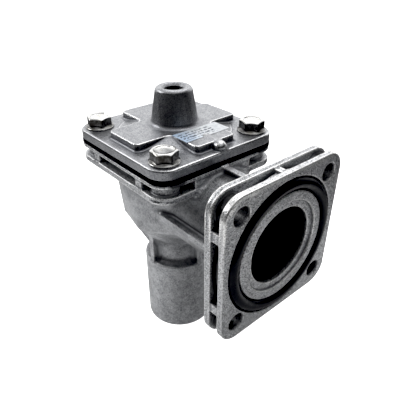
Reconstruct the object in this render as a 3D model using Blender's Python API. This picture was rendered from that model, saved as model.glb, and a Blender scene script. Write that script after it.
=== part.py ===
"""Pulse valve: a flanged diaphragm valve with a cast body, a bolted cover and a pilot port.

The valve stands on its outlet end, with its axis along Z and its inlet facing +X. Heights are
measured from the top of the cover's rim, where the bolts seat: the metal below it has a
negative height. All lengths are in metres.
"""

import math

import bmesh
import bpy
from mathutils import Matrix, Vector

# Clearances
SEAT_GAP = 0.0003  # between two pieces that rest on each other
CLAMP_GAP = 0.0002  # between the diaphragm's rim and each of the two castings that clamp it
FOIL_GAP = 0.0001  # under the label
BOLT_CLEARANCE = 0.0003  # round a bolt's shank, in radius
SCREW_CLEARANCE = 0.0003  # round the clamp screw's shank, in radius
SPRING_CLEARANCE = 0.0006  # round the spring in its pocket, in radius

# Square of the cover, the diaphragm's rim and the body's upper flange. The bolts stand at the
# centres of its rounded corners.
SQUARE_HALF = 0.0329
CORNER_RADIUS = 0.0083
RIM_PROUD = 0.0002  # how far the diaphragm's rim stands out past the castings

# Cover
COVER_RIM = 0.0046
COVER_EDGE = 0.0008
PAD_HEIGHT = 0.00325
PAD_INSET = 0.0047  # from the cover's side in to the pad's end
PAD_ARM = 0.0107
PAD_CORNER = 0.0022
PAD_EDGE = 0.0005
PAD_CONE_INSET = 0.0079  # from the cover's side in to the foot of the corners' rise
PAD_CONE_SLOPE = 0.0100
BOSS_TOP = 0.0196
BOSS_LOW_RADIUS = 0.0109
BOSS_HIGH_RADIUS = 0.0081
BOSS_EDGE = 0.0014
PORT_RADIUS = 0.0042
PORT_CHAMFER = 0.0013
KNOB_RADIUS = 0.0028
KNOB_HEIGHT = 0.0006
CAVITY_ROOF_RADIUS = 0.0135
COVER_WALL = 0.0034

# Cover bolts
BOLT_RADIUS = 0.0030
BOLT_ACROSS_FLATS = 0.0100
BOLT_HEAD = 0.0053
BOLT_FLANGE_RADIUS = 0.0065
BOLT_FLANGE = 0.0012
BOLT_DISH_RADIUS = 0.0039
BOLT_DISH = 0.0005
BOLT_LENGTH = 0.0142
BOLT_TURNS = (-36.0, -48.0, -20.0, 12.0)

# Diaphragm
RIM_THICKNESS = 0.0020
WEB_THICKNESS = 0.0016
WEB_INSET = 0.0020  # from the chamber's wall in to the top of the slope
WEB_DISC_MARGIN = 0.0014  # from the seat disc's rim out to the foot of the slope

# Body: upper flange
FLANGE_TOP_PLATE = 0.0016
FLANGE_POCKET = 0.0041
FLANGE_BOTTOM_PLATE = 0.0029
RIB_INSET = 0.0101  # from a bolt's axis in to the nearer side of the rib beside it
RIB_WIDTH = 0.0042
RIB_SETBACK = 0.0004
COLUMN_RADIUS = 0.0060
BLOCK_PAST_RIB = 0.0011  # how far the solid block reaches past that side, each way
PLATE_EDGE = 0.0004

# Body: globe, neck and outlet
GLOBE_INSET = 0.0043  # from the upper flange's side in to the globe
GLOBE_WALL = 0.0030
DUCT_DROP = 0.0008  # from the globe's radius below the cover's bolt seat down to the inlet's axis
NECK_WALL = 0.0025
NECK_FILLET = 0.0030
NECK_RIB = 0.0030
NECK_LENGTH = 0.0098  # from the globe's lowest point down to the tube's top
TUBE_RADIUS = 0.0177
TUBE_EDGE = 0.0010
TUBE_LENGTH = 0.0410
TUBE_WALL = 0.00565  # round the socket
SOCKET_STEP = 0.00085  # how much wider the socket is than the bore above it, in radius
SOCKET_DEPTH = 0.0220
SOCKET_CHAMFER = 0.0014

# Body: seat
SEAT_WALL = 0.0026
SEAT_DEPTH = 0.0140
LIP_EDGE = 0.0008

# Body: duct and inlet flange
DUCT_WALL = 0.0036
COUNTERBORE_STEP = 0.0032  # how much wider the counterbore is than the bore, in radius
COUNTERBORE_DEPTH = 0.0012
COUNTERBORE_LAND = 0.0039  # face left between the counterbore and the O-ring's groove
SIDE_RIB_PROUD = 0.0035
SIDE_RIB = 0.0028
SIDE_RIB_START = 0.0180
TOP_WEB = 0.0028
INLET_REACH = 0.0669
INLET_INSET = 0.0002  # how much smaller the inlet flange is than the upper one, each way
INLET_CORNER = 0.0087
INLET_FRONT_PLATE = 0.0028
INLET_POCKET = 0.0041
INLET_BACK_PLATE = 0.0031
INLET_HOLE_INSET = 0.0082
INLET_HOLE_RADIUS = 0.0040
INLET_BULGE_INSET = 0.0018
INLET_BULGE = 0.0031
INLET_TOP_RIB = 0.0031

# O-ring
RING_SECTION = 0.0053
RING_INSET = 0.00585  # from the inlet flange's side in to the middle of the section
RING_PROUD = 0.0010

# Closing assembly
DISC_OVERLAP = 0.0010  # how far the disc reaches past the seat, in radius
DISC_THICKNESS = 0.0018
WASHER_CLEARANCE = 0.0022  # round the washer in the bore below the seat
WASHER_THICKNESS = 0.0012
PLATE_INSET = 0.0008  # how much smaller the plate is than the seat, in radius
PLATE_THICKNESS = 0.0014
PLATE_LIP = 0.0012
SCREW_RADIUS = 0.0025
SCREW_ACROSS_FLATS = 0.0080
SCREW_HEAD = 0.0035
SCREW_END = 0.0008
NUT_HEIGHT = 0.0040

# Spring
SPRING_RADIUS = 0.0064
SPRING_WIRE = 0.0012
SPRING_ROOM = 0.0062  # height of its pocket's roof above the cover's bolt seat
SPRING_TURNS = 6

# Label
LABEL_NEAR = 0.0122
LABEL_FAR = 0.0220
LABEL_LEFT = -0.0112
LABEL_RIGHT = 0.0132
LABEL_THICKNESS = 0.0002

# Fineness
TURN_STEPS = 48
BORE_STEPS = 36
SMALL_STEPS = 20
CORNER_STEPS = 5
HOLE_STEPS = 16
ROUND_FROM = 0.0006  # an edge smaller than this is chamfered, not rounded

# Heights that follow from the sizes above
RIM_TOP = -COVER_RIM
FLANGE_TOP = RIM_TOP - RIM_THICKNESS
POCKET_TOP = FLANGE_TOP - FLANGE_TOP_PLATE
POCKET_LOW = POCKET_TOP - FLANGE_POCKET
FLANGE_LOW = POCKET_LOW - FLANGE_BOTTOM_PLATE
GLOBE_RADIUS = SQUARE_HALF - GLOBE_INSET
DUCT_Z = -GLOBE_RADIUS - DUCT_DROP
CHAMBER_RADIUS = GLOBE_RADIUS - GLOBE_WALL
TUBE_TOP = DUCT_Z - GLOBE_RADIUS - NECK_LENGTH
TUBE_END = TUBE_TOP - TUBE_LENGTH
SOCKET_RADIUS = TUBE_RADIUS - TUBE_WALL
OUTLET_RADIUS = SOCKET_RADIUS - SOCKET_STEP
NECK_RADIUS = OUTLET_RADIUS + NECK_WALL
SEAT_Z = -SEAT_DEPTH
SEAT_RADIUS = OUTLET_RADIUS + SEAT_WALL
DISC_RADIUS = SEAT_RADIUS + DISC_OVERLAP
PLATE_RADIUS = SEAT_RADIUS - PLATE_INSET
WASHER_RADIUS = OUTLET_RADIUS - WASHER_CLEARANCE
WEB_OUTER_RADIUS = CHAMBER_RADIUS - WEB_INSET
WEB_INNER_RADIUS = DISC_RADIUS + WEB_DISC_MARGIN
PAD_REACH = SQUARE_HALF - PAD_INSET
PAD_CONE_LOW = SQUARE_HALF - PAD_CONE_INSET
PAD_CONE_HIGH = PAD_CONE_LOW - PAD_CONE_SLOPE
BOLT_AT = SQUARE_HALF - CORNER_RADIUS
RIB_NEAR = BOLT_AT - RIB_INSET
BLOCK_HALF = RIB_NEAR + BLOCK_PAST_RIB
INLET_HALF = SQUARE_HALF - INLET_INSET
HOLE_AT = INLET_HALF - INLET_HOLE_INSET
RING_RADIUS = INLET_HALF - RING_INSET
INLET_BULGE_RADIUS = INLET_HALF - INLET_BULGE_INSET
COUNTERBORE_RADIUS = RING_RADIUS - RING_SECTION / 2 - SEAT_GAP - COUNTERBORE_LAND
INLET_RADIUS = COUNTERBORE_RADIUS - COUNTERBORE_STEP
DUCT_RADIUS = INLET_RADIUS + DUCT_WALL
SIDE_RIB_REACH = DUCT_RADIUS + SIDE_RIB_PROUD
POCKET_OUTER_X = INLET_REACH - INLET_FRONT_PLATE
POCKET_INNER_X = POCKET_OUTER_X - INLET_POCKET
INLET_BACK_X = POCKET_INNER_X - INLET_BACK_PLATE
RING_X = INLET_REACH + RING_PROUD - RING_SECTION / 2
DISC_LOW = SEAT_Z + SEAT_GAP
DISC_TOP = DISC_LOW + DISC_THICKNESS
WEB_LOW = DISC_TOP + SEAT_GAP
WEB_TOP = WEB_LOW + WEB_THICKNESS
PLATE_LOW = WEB_TOP + SEAT_GAP
PLATE_TOP = PLATE_LOW + PLATE_THICKNESS
NUT_LOW = PLATE_TOP + SEAT_GAP
NUT_TOP = NUT_LOW + NUT_HEIGHT
WASHER_TOP = DISC_LOW - SEAT_GAP
WASHER_LOW = WASHER_TOP - WASHER_THICKNESS
SCREW_HEAD_TOP = WASHER_LOW - SEAT_GAP
SPRING_POCKET_RADIUS = SPRING_RADIUS + SPRING_CLEARANCE
STAND_X = -(INLET_REACH + RING_PROUD - SQUARE_HALF - RIM_PROUD) / 2

# The body is one casting. It is kept as three pieces, so that each one's hollows stay open in
# collision: they part just past the upper flange and just under the globe.
BODY_REACH = SQUARE_HALF + SEAT_GAP / 2
DUCT_START = BODY_REACH + SEAT_GAP
BODY_LOW = DUCT_Z - GLOBE_RADIUS
TUBE_START = BODY_LOW - SEAT_GAP

FACE_X = (math.pi / 2, 0.0, math.pi / 2)  # turns a shape's own Z to the inlet's direction

ALUMINIUM = (0.62, 0.62, 0.61)
DARK_RUBBER = (0.02, 0.02, 0.022)


def clear_scene():
    for thing in list(bpy.data.objects):
        bpy.data.objects.remove(thing, do_unlink=True)


def material(name, colour, roughness, metallic):
    made = bpy.data.materials.new(name)
    made.use_nodes = True
    shader = made.node_tree.nodes["Principled BSDF"]
    shader.inputs["Base Color"].default_value = (*colour, 1.0)
    shader.inputs["Roughness"].default_value = roughness
    shader.inputs["Metallic"].default_value = metallic
    made.diffuse_color = (*colour, 1.0)
    return made


def empty(name, location, parent=None):
    made = bpy.data.objects.new(name, None)
    made.location = location
    made.parent = parent
    bpy.context.scene.collection.objects.link(made)
    return made


def place(name, mesh, parent, location=(0, 0, 0), rotation=(0, 0, 0), look=None):
    made = bpy.data.objects.new(name, mesh)
    made.location = location
    made.rotation_euler = rotation
    made.parent = parent
    if look:
        made.data.materials.clear()
        made.data.materials.append(look)
    bpy.context.scene.collection.objects.link(made)
    return made


def finish(bm, name):
    bmesh.ops.recalc_face_normals(bm, faces=bm.faces)
    mesh = bpy.data.meshes.new(name)
    bm.to_mesh(mesh)
    bm.free()
    mesh.shade_smooth()
    mesh.set_sharp_from_angle(angle=math.radians(35))
    return mesh


def turned(name, profile, steps=TURN_STEPS, closed=False):
    """A profile of (radius, height) points spun round Z. It starts and ends on the axis, or is closed."""
    bm = bmesh.new()
    points = [bm.verts.new((radius, 0.0, height)) for radius, height in profile]
    pairs = list(zip(points, points[1:] + points[:1]))
    edges = [bm.edges.new(pair) for pair in (pairs if closed else pairs[:-1])]
    bmesh.ops.spin(
        bm,
        geom=points + edges,
        cent=(0, 0, 0),
        axis=(0, 0, 1),
        dvec=(0, 0, 0),
        angle=2 * math.pi,
        steps=steps,
        use_merge=True,
    )
    bmesh.ops.remove_doubles(bm, verts=bm.verts, dist=1e-7)
    return finish(bm, name)


def extruded(bm, outline, low, high, edge=0.0):
    """One prism added to bm. Its top and bottom edges are rounded by edge."""
    base = bm.faces.new([bm.verts.new((x, y, low + edge)) for x, y in outline])
    moved = bmesh.ops.extrude_face_region(bm, geom=[base])["geom"]
    tops = [item for item in moved if isinstance(item, bmesh.types.BMVert)]
    caps = [base] + [item for item in moved if isinstance(item, bmesh.types.BMFace)]
    bmesh.ops.translate(bm, vec=(0, 0, high - low - 2 * edge), verts=tops)
    bmesh.ops.recalc_face_normals(bm, faces=bm.faces)
    steps = [(edge, edge)] if edge < ROUND_FROM else [(0.3 * edge, 0.7 * edge), (0.7 * edge, 0.3 * edge)]
    for inward, outward in steps if edge else ():
        bmesh.ops.inset_region(
            bm, faces=caps, thickness=inward, depth=outward, use_boundary=True, use_even_offset=True
        )


def prism(name, outline, low, high, edge=0.0):
    bm = bmesh.new()
    extruded(bm, outline, low, high, edge)
    return finish(bm, name)


def prisms(name, outlines, low, high):
    bm = bmesh.new()
    for outline in outlines:
        extruded(bm, outline, low, high)
    return finish(bm, name)


def rectangle(left, right, near, far):
    return [(left, near), (right, near), (right, far), (left, far)]


def circle(radius, x=0.0, y=0.0, steps=SMALL_STEPS):
    angles = [2 * math.pi * i / steps for i in range(steps)]
    return [(x + radius * math.cos(a), y + radius * math.sin(a)) for a in angles]


def hexagon(across_flats, turn=0.0):
    corner = across_flats / math.sqrt(3)
    angles = [math.radians(turn + 60 * i) for i in range(6)]
    return [(corner * math.cos(a), corner * math.sin(a)) for a in angles]


def rounded(corners, radius, steps=CORNER_STEPS):
    """The polygon with each corner, inner ones too, replaced by an arc."""
    points = []
    for i, corner in enumerate(corners):
        here = Vector(corner)
        before = (Vector(corners[i - 1]) - here).normalized()
        after = (Vector(corners[(i + 1) % len(corners)]) - here).normalized()
        half = before.angle(after) / 2
        start = here + before * radius / math.tan(half)
        end = here + after * radius / math.tan(half)
        centre = here + (before + after).normalized() * radius / math.sin(half)
        for k in range(steps + 1):
            way = (start - centre).normalized().slerp((end - centre).normalized(), k / steps)
            points.append(tuple(centre + way * radius))
    return points


def square(half, radius):
    return rounded(rectangle(-half, half, -half, half), radius)


def corner_circles(at, radius, steps=SMALL_STEPS):
    return [circle(radius, x * at, y * at, steps) for x in (-1, 1) for y in (-1, 1)]


def corner_squares(near, far):
    """Squares that fill each corner between a column and what it stands beside."""
    spans = [(-far, -near), (near, far)]
    return [rectangle(*across, *along) for across in spans for along in spans]


def boolean(target, tool, operation):
    tool.hide_render = True
    tool.display_type = "WIRE"
    step = target.modifiers.new(tool.name, "BOOLEAN")
    step.operation = operation
    step.solver = "EXACT"
    step.object = tool


def join(target, mesh, location=(0, 0, 0), rotation=(0, 0, 0)):
    tool = place("form_" + mesh.name, mesh, target.parent, location, rotation)
    boolean(target, tool, "UNION")


def cut(target, mesh, location=(0, 0, 0), rotation=(0, 0, 0)):
    tool = place("cutter_" + mesh.name, mesh, target.parent, location, rotation)
    boolean(target, tool, "DIFFERENCE")


def arc(centre, radius, start, end, steps):
    """Points of an arc in a profile, from one angle to the other in degrees."""
    angles = [math.radians(start + (end - start) * i / steps) for i in range(steps + 1)]
    return [(centre[0] + radius * math.cos(a), centre[1] + radius * math.sin(a)) for a in angles]


def globe_profile():
    """Outer shape of the globe and the neck's root, from the top down."""
    blend = NECK_RADIUS + NECK_FILLET
    reach = GLOBE_RADIUS + NECK_FILLET
    drop = math.sqrt(reach**2 - blend**2)
    stop = -math.degrees(math.atan2(drop, blend))
    profile = [(0.0, POCKET_TOP - PLATE_EDGE), (GLOBE_RADIUS, POCKET_TOP - PLATE_EDGE)]
    profile += arc((0.0, DUCT_Z), GLOBE_RADIUS, 0, stop, 9)
    profile += arc((blend, DUCT_Z - drop), NECK_FILLET, 180 + stop, 180, 3)[1:]
    return profile + [(NECK_RADIUS, BODY_LOW), (0.0, BODY_LOW)]


def tube_profile():
    """Outer shape of the neck and the outlet tube, from the top down."""
    fillet = (NECK_RADIUS + NECK_FILLET, TUBE_TOP + NECK_FILLET)
    edge = TUBE_RADIUS - TUBE_EDGE
    profile = [(0.0, TUBE_START), (NECK_RADIUS, TUBE_START)]
    profile += arc(fillet, NECK_FILLET, 180, 270, 3)
    profile += arc((edge, TUBE_TOP - TUBE_EDGE), TUBE_EDGE, 90, 0, 2)
    profile += arc((edge, TUBE_END + TUBE_EDGE), TUBE_EDGE, 0, -90, 2)
    return profile + [(0.0, TUBE_END)]


def chamber_profile():
    """Room round the seat, from the open top down to the globe's floor and up the seat's wall."""
    drop = math.sqrt(CHAMBER_RADIUS**2 - SEAT_RADIUS**2)
    stop = -math.degrees(math.atan2(drop, SEAT_RADIUS))
    profile = [(0.0, FLANGE_TOP + SEAT_GAP), (CHAMBER_RADIUS, FLANGE_TOP + SEAT_GAP)]
    profile += arc((0.0, DUCT_Z), CHAMBER_RADIUS, 0, stop, 6)
    profile += [(SEAT_RADIUS, SEAT_Z - LIP_EDGE), (SEAT_RADIUS - LIP_EDGE, SEAT_Z)]
    return profile + [(0.0, SEAT_Z)]


def outlet_profile():
    beyond = TUBE_END - SOCKET_CHAMFER
    socket = TUBE_END + SOCKET_DEPTH
    step = SOCKET_RADIUS - OUTLET_RADIUS
    return [
        (0.0, beyond),
        (SOCKET_RADIUS + 2 * SOCKET_CHAMFER, beyond),
        (SOCKET_RADIUS, TUBE_END + SOCKET_CHAMFER),
        (SOCKET_RADIUS, socket),
        (OUTLET_RADIUS, socket + step),
        (OUTLET_RADIUS, SEAT_Z + SEAT_GAP),
        (0.0, SEAT_Z + SEAT_GAP),
    ]


def inlet_profile():
    """The inlet's bore and counterbore, with heights along X."""
    start = SEAT_RADIUS + SEAT_WALL
    shoulder = INLET_REACH - COUNTERBORE_DEPTH
    return [
        (0.0, start),
        (INLET_RADIUS, start),
        (INLET_RADIUS, shoulder),
        (COUNTERBORE_RADIUS, shoulder),
        (COUNTERBORE_RADIUS, INLET_REACH + COUNTERBORE_DEPTH),
        (0.0, INLET_REACH + COUNTERBORE_DEPTH),
    ]


def groove_profile():
    """The O-ring's groove, with heights along X."""
    half = RING_SECTION / 2 + SEAT_GAP
    floor = RING_X - half
    mouth = INLET_REACH + RING_PROUD
    inner, outer = RING_RADIUS - half, RING_RADIUS + half
    return [(inner, floor), (outer, floor), (outer, mouth), (inner, mouth)]


def add_upper_flange(body):
    plate = square(SQUARE_HALF, CORNER_RADIUS)
    join(body, prism("upper_plate", plate, POCKET_TOP, FLANGE_TOP, PLATE_EDGE))
    join(body, prism("lower_plate", plate, FLANGE_LOW, POCKET_LOW, PLATE_EDGE))
    low, high = POCKET_LOW - PLATE_EDGE, POCKET_TOP + PLATE_EDGE
    far = SQUARE_HALF - RIB_SETBACK
    near = CHAMBER_RADIUS - COLUMN_RADIUS
    spans = [(RIB_NEAR, RIB_NEAR + RIB_WIDTH), (-RIB_NEAR - RIB_WIDTH, -RIB_NEAR)]
    ribs = [rectangle(a, b, -far, -near) for a, b in spans]
    ribs += [rectangle(a, b, near, far) for a, b in spans]
    ribs += [rectangle(-far, -near, a, b) for a, b in spans]
    join(body, prisms("flange_ribs", ribs, low, high))
    join(body, prisms("columns", corner_circles(BOLT_AT, COLUMN_RADIUS), low, high))
    join(body, prisms("column_webs", corner_squares(RIB_NEAR + RIB_WIDTH / 4, BOLT_AT), low, high))
    block = rectangle(near, far, -BLOCK_HALF, BLOCK_HALF)
    join(body, prism("block", block, low, high))


def add_duct(body, duct_start, rib_start, web_start, end):
    """The round duct with its side ribs and top web, between two places along X."""
    duct = circle(DUCT_RADIUS, steps=TURN_STEPS)
    join(body, prism("duct", duct, duct_start, end), (0, 0, DUCT_Z), FACE_X)
    half = SIDE_RIB / 2
    rib = rectangle(-SIDE_RIB_REACH, SIDE_RIB_REACH, DUCT_Z - half, DUCT_Z + half)
    join(body, prism("side_ribs", rib, rib_start, end), rotation=FACE_X)
    half = TOP_WEB / 2
    web = rectangle(-half, half, DUCT_Z + INLET_RADIUS, FLANGE_TOP)
    join(body, prism("top_web", web, web_start, end), rotation=FACE_X)


def add_inlet_flange(body):
    at = (0, 0, DUCT_Z)
    plate = square(INLET_HALF, INLET_CORNER)
    back = prism("back_plate", plate, INLET_BACK_X, POCKET_INNER_X, PLATE_EDGE)
    join(body, back, at, FACE_X)
    low, high = POCKET_INNER_X - PLATE_EDGE, POCKET_OUTER_X + PLATE_EDGE
    core = circle(RING_RADIUS - SEAT_GAP, steps=BORE_STEPS)
    join(body, prism("inlet_core", core, low, high), at, FACE_X)
    bulge = circle(INLET_BULGE_RADIUS, steps=TURN_STEPS)
    bulge_back = POCKET_OUTER_X - INLET_BULGE
    join(body, prism("ring_bulge", bulge, bulge_back, high), at, FACE_X)
    far = INLET_HALF - RIB_SETBACK
    near = DUCT_RADIUS
    spans = [(RIB_NEAR, RIB_NEAR + RIB_WIDTH), (-RIB_NEAR - RIB_WIDTH, -RIB_NEAR)]
    ribs = [rectangle(-far, -near + COLUMN_RADIUS, a, b) for a, b in spans]
    ribs += [rectangle(near - COLUMN_RADIUS, far, a, b) for a, b in spans]
    join(body, prisms("inlet_side_ribs", ribs, low, high), at, FACE_X)
    half = INLET_TOP_RIB / 2
    ribs = [rectangle(-half, half, near, far), rectangle(-half, half, -far, -near)]
    join(body, prisms("inlet_middle_ribs", ribs, low, high), at, FACE_X)
    columns = corner_circles(HOLE_AT, COLUMN_RADIUS)
    join(body, prisms("inlet_columns", columns, low, high), at, FACE_X)
    webs = corner_squares(RIB_NEAR + RIB_WIDTH / 4, HOLE_AT)
    join(body, prisms("inlet_column_webs", webs, low, high), at, FACE_X)


def add_neck_ribs(body, low, high):
    half, reach = NECK_RIB / 2, TUBE_RADIUS - TUBE_EDGE / 4
    join(body, prism("neck_rib_x", rectangle(-reach, reach, -half, half), low, high))
    join(body, prism("neck_rib_y", rectangle(-half, half, -reach, reach), low, high))


def make_body(parent, look):
    """Globe with its upper flange, its seat and the roots of the duct and the neck."""
    body = place("valve_body", turned("valve_body", globe_profile()), parent, look=look)
    add_upper_flange(body)
    add_duct(body, OUTLET_RADIUS, SIDE_RIB_START, CHAMBER_RADIUS, BODY_REACH)
    add_neck_ribs(body, BODY_LOW, DUCT_Z - NECK_RADIUS)
    cut(body, turned("chamber", chamber_profile(), BORE_STEPS))
    cut(body, turned("outlet", outlet_profile(), BORE_STEPS))
    cut(body, turned("inlet", inlet_profile(), TURN_STEPS), (0, 0, DUCT_Z), FACE_X)
    holes = corner_circles(BOLT_AT, BOLT_RADIUS + BOLT_CLEARANCE, HOLE_STEPS)
    deep = FLANGE_LOW - BOLT_RADIUS
    cut(body, prisms("bolt_holes", holes, deep, FLANGE_TOP + SEAT_GAP))
    return body


def make_inlet(parent, look):
    """Duct with its square flange, bore, groove and bolt holes."""
    at = (0, 0, DUCT_Z)
    plate = square(INLET_HALF, INLET_CORNER)
    front = prism("inlet_duct", plate, POCKET_OUTER_X, INLET_REACH, PLATE_EDGE)
    duct = place("inlet_duct", front, parent, at, FACE_X, look)
    add_inlet_flange(duct)
    end = INLET_BACK_X + INLET_BACK_PLATE / 2
    add_duct(duct, DUCT_START, DUCT_START, DUCT_START, end)
    cut(duct, turned("duct_bore", inlet_profile(), TURN_STEPS), at, FACE_X)
    cut(duct, turned("groove", groove_profile(), closed=True), at, FACE_X)
    holes = corner_circles(HOLE_AT, INLET_HOLE_RADIUS)
    start, end = INLET_BACK_X - INLET_HOLE_RADIUS, INLET_REACH + INLET_HOLE_RADIUS
    cut(duct, prisms("inlet_holes", holes, start, end), at, FACE_X)
    return duct


def make_outlet(parent, look):
    """Neck and outlet tube with its socket."""
    tube = place("outlet_tube", turned("outlet_tube", tube_profile()), parent, look=look)
    add_neck_ribs(tube, TUBE_TOP - TUBE_EDGE, TUBE_START)
    cut(tube, turned("socket", outlet_profile(), BORE_STEPS))
    return tube


def cross_outline():
    arm, reach = PAD_ARM, PAD_REACH
    quarter = [(reach, -arm), (reach, arm), (arm, arm)]
    corners = []
    for turn in range(4):
        spin = Matrix.Rotation(turn * math.pi / 2, 2)
        corners += [tuple(spin @ Vector(point)) for point in quarter]
    return rounded(corners, PAD_CORNER, 4)


def boss_profile():
    low, high = BOSS_LOW_RADIUS, BOSS_HIGH_RADIUS
    profile = [(0.0, -COVER_RIM / 2), (low, -COVER_RIM / 2), (low, PAD_HEIGHT)]
    profile += arc((high - BOSS_EDGE, BOSS_TOP - BOSS_EDGE), BOSS_EDGE, 0, 90, 4)
    return profile + [(0.0, BOSS_TOP)]


def cone_profile():
    """Rise of the cover's corners towards the pad."""
    low, top = -COVER_RIM / 2, PAD_HEIGHT - PAD_EDGE
    side = [(PAD_CONE_LOW, low), (PAD_CONE_LOW, 0.0), (PAD_CONE_HIGH, top)]
    return [(0.0, low)] + side + [(0.0, top)]


def knob_profile():
    """The stub, with heights along X: its round end is flush with the cover's side."""
    tip = SQUARE_HALF - KNOB_RADIUS
    start = PAD_REACH - KNOB_RADIUS
    return [(0.0, start), (KNOB_RADIUS, start)] + arc((0.0, tip), KNOB_RADIUS, 0, 90, 6)


def cavity_profile():
    """Room over the diaphragm, the spring's pocket and the pilot port."""
    low = RIM_TOP - SEAT_GAP
    roof = PAD_HEIGHT - COVER_WALL
    chamfer = PORT_RADIUS + PORT_CHAMFER
    return [
        (0.0, low),
        (CHAMBER_RADIUS, low),
        (CHAMBER_RADIUS, RIM_TOP),
        (CAVITY_ROOF_RADIUS, roof),
        (SPRING_POCKET_RADIUS, roof),
        (SPRING_POCKET_RADIUS, SPRING_ROOM),
        (PORT_RADIUS, SPRING_ROOM),
        (PORT_RADIUS, BOSS_TOP - PORT_CHAMFER),
        (chamfer, BOSS_TOP),
        (chamfer, BOSS_TOP + SEAT_GAP),
        (0.0, BOSS_TOP + SEAT_GAP),
    ]


def make_cover(parent, look):
    slab = prism("cover", square(SQUARE_HALF, CORNER_RADIUS), RIM_TOP, 0.0, COVER_EDGE)
    cover = place("cover", slab, parent, look=look)
    join(cover, prism("pad", cross_outline(), -COVER_RIM / 2, PAD_HEIGHT, PAD_EDGE))
    join(cover, turned("pad_cone", cone_profile(), BORE_STEPS))
    join(cover, turned("boss", boss_profile(), BORE_STEPS))
    join(cover, turned("knob", knob_profile(), 16), (0, 0, KNOB_HEIGHT), FACE_X)
    cut(cover, turned("cavity", cavity_profile(), BORE_STEPS))
    holes = corner_circles(BOLT_AT, BOLT_RADIUS + BOLT_CLEARANCE, HOLE_STEPS)
    cut(cover, prisms("cover_holes", holes, RIM_TOP - SEAT_GAP, SEAT_GAP))
    return cover


def bolt_mesh():
    """A flanged hexagon bolt seen from its seat, with the head up."""
    shank = [
        (0.0, -BOLT_LENGTH),
        (BOLT_RADIUS * 0.75, -BOLT_LENGTH),
        (BOLT_RADIUS, -BOLT_LENGTH + BOLT_RADIUS * 0.25),
        (BOLT_RADIUS, 0.0),
        (BOLT_FLANGE_RADIUS - BOLT_FLANGE / 3, 0.0),
        (BOLT_FLANGE_RADIUS, BOLT_FLANGE / 3),
        (BOLT_FLANGE_RADIUS, BOLT_FLANGE * 0.6),
        (BOLT_ACROSS_FLATS / 2, BOLT_FLANGE * 1.4),
        (0.0, BOLT_FLANGE * 1.4),
    ]
    corner = BOLT_ACROSS_FLATS / math.sqrt(3)
    fall = (corner - BOLT_DISH_RADIUS) * math.tan(math.radians(25))
    envelope = [
        (0.0, -BOLT_FLANGE),
        (corner * 1.1, -BOLT_FLANGE),
        (corner * 1.1, BOLT_HEAD - fall - corner * 0.1 * math.tan(math.radians(25))),
        (BOLT_DISH_RADIUS, BOLT_HEAD),
        (BOLT_DISH_RADIUS - BOLT_DISH, BOLT_HEAD - BOLT_DISH),
        (0.0, BOLT_HEAD - BOLT_DISH),
    ]
    head = prism("bolt", hexagon(BOLT_ACROSS_FLATS), BOLT_FLANGE / 2, BOLT_HEAD)
    made = place("bolt_form", head, None)
    for mesh, operation in (
        (turned("bolt_envelope", envelope, SMALL_STEPS), "INTERSECT"),
        (turned("bolt_shank", shank, SMALL_STEPS), "UNION"),
    ):
        boolean(made, place(mesh.name, mesh, None), operation)
    graph = bpy.context.evaluated_depsgraph_get()
    mesh = bpy.data.meshes.new_from_object(made.evaluated_get(graph))
    mesh.name = "cover_bolt"
    for step in list(made.modifiers):
        bpy.data.objects.remove(step.object)
    bpy.data.objects.remove(made)
    return mesh


def make_bolts(parent, look):
    mesh = bolt_mesh()
    places = [(1, -1), (1, 1), (-1, 1), (-1, -1)]
    for i, (x, y) in enumerate(places):
        at = (x * BOLT_AT, y * BOLT_AT, SEAT_GAP)
        turn = (0, 0, math.radians(BOLT_TURNS[i]))
        place(f"cover_bolt_{i + 1}", mesh, parent, at, turn, look)


def make_ring(parent, look):
    bm = bmesh.new()
    section = circle(RING_SECTION / 2, RING_RADIUS, 0.0, 12)
    points = [bm.verts.new((r, 0.0, z)) for r, z in section]
    edges = [bm.edges.new(pair) for pair in zip(points, points[1:] + points[:1])]
    bmesh.ops.spin(
        bm, geom=points + edges, cent=(0, 0, 0), axis=(0, 0, 1), dvec=(0, 0, 0),
        angle=2 * math.pi, steps=48, use_merge=True,
    )
    mesh = finish(bm, "inlet_o_ring")
    return place("inlet_o_ring", mesh, parent, (RING_X, 0, DUCT_Z), FACE_X, look)


def make_label(parent, look):
    outline = rectangle(LABEL_NEAR, LABEL_FAR, LABEL_LEFT, LABEL_RIGHT)
    low = PAD_HEIGHT + FOIL_GAP
    mesh = prism("label", outline, low, low + LABEL_THICKNESS)
    return place("label", mesh, parent, look=look)


def web_slope():
    """Foot and top of the web's slope on its upper side, and how far out its lower side is shifted."""
    foot = Vector((WEB_INNER_RADIUS, WEB_TOP))
    head = Vector((WEB_OUTER_RADIUS, RIM_TOP - CLAMP_GAP))
    angle = math.atan2(head.y - foot.y, head.x - foot.x)
    return foot, head, WEB_THICKNESS * math.tan(angle / 2)


def bowl_profile():
    """The web's lower side, closed inside the rim."""
    foot, head, shift = web_slope()
    low = FLANGE_TOP + CLAMP_GAP
    grade = (head.x - foot.x) / (low - WEB_LOW)
    middle = (low + head.y) / 2
    out = foot.x + shift + grade * (middle - WEB_LOW)
    return [(0.0, WEB_LOW), (foot.x + shift, WEB_LOW), (out, middle), (0.0, middle)]


def hollow_profile():
    """Room over the web: its upper side, carried on past the rim's top."""
    foot, head, shift = web_slope()
    grade = (head.x - foot.x) / (head.y - foot.y)
    past = head.y + RIM_THICKNESS
    return [(0.0, foot.y), tuple(foot), (head.x + grade * RIM_THICKNESS, past), (0.0, past)]


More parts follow.
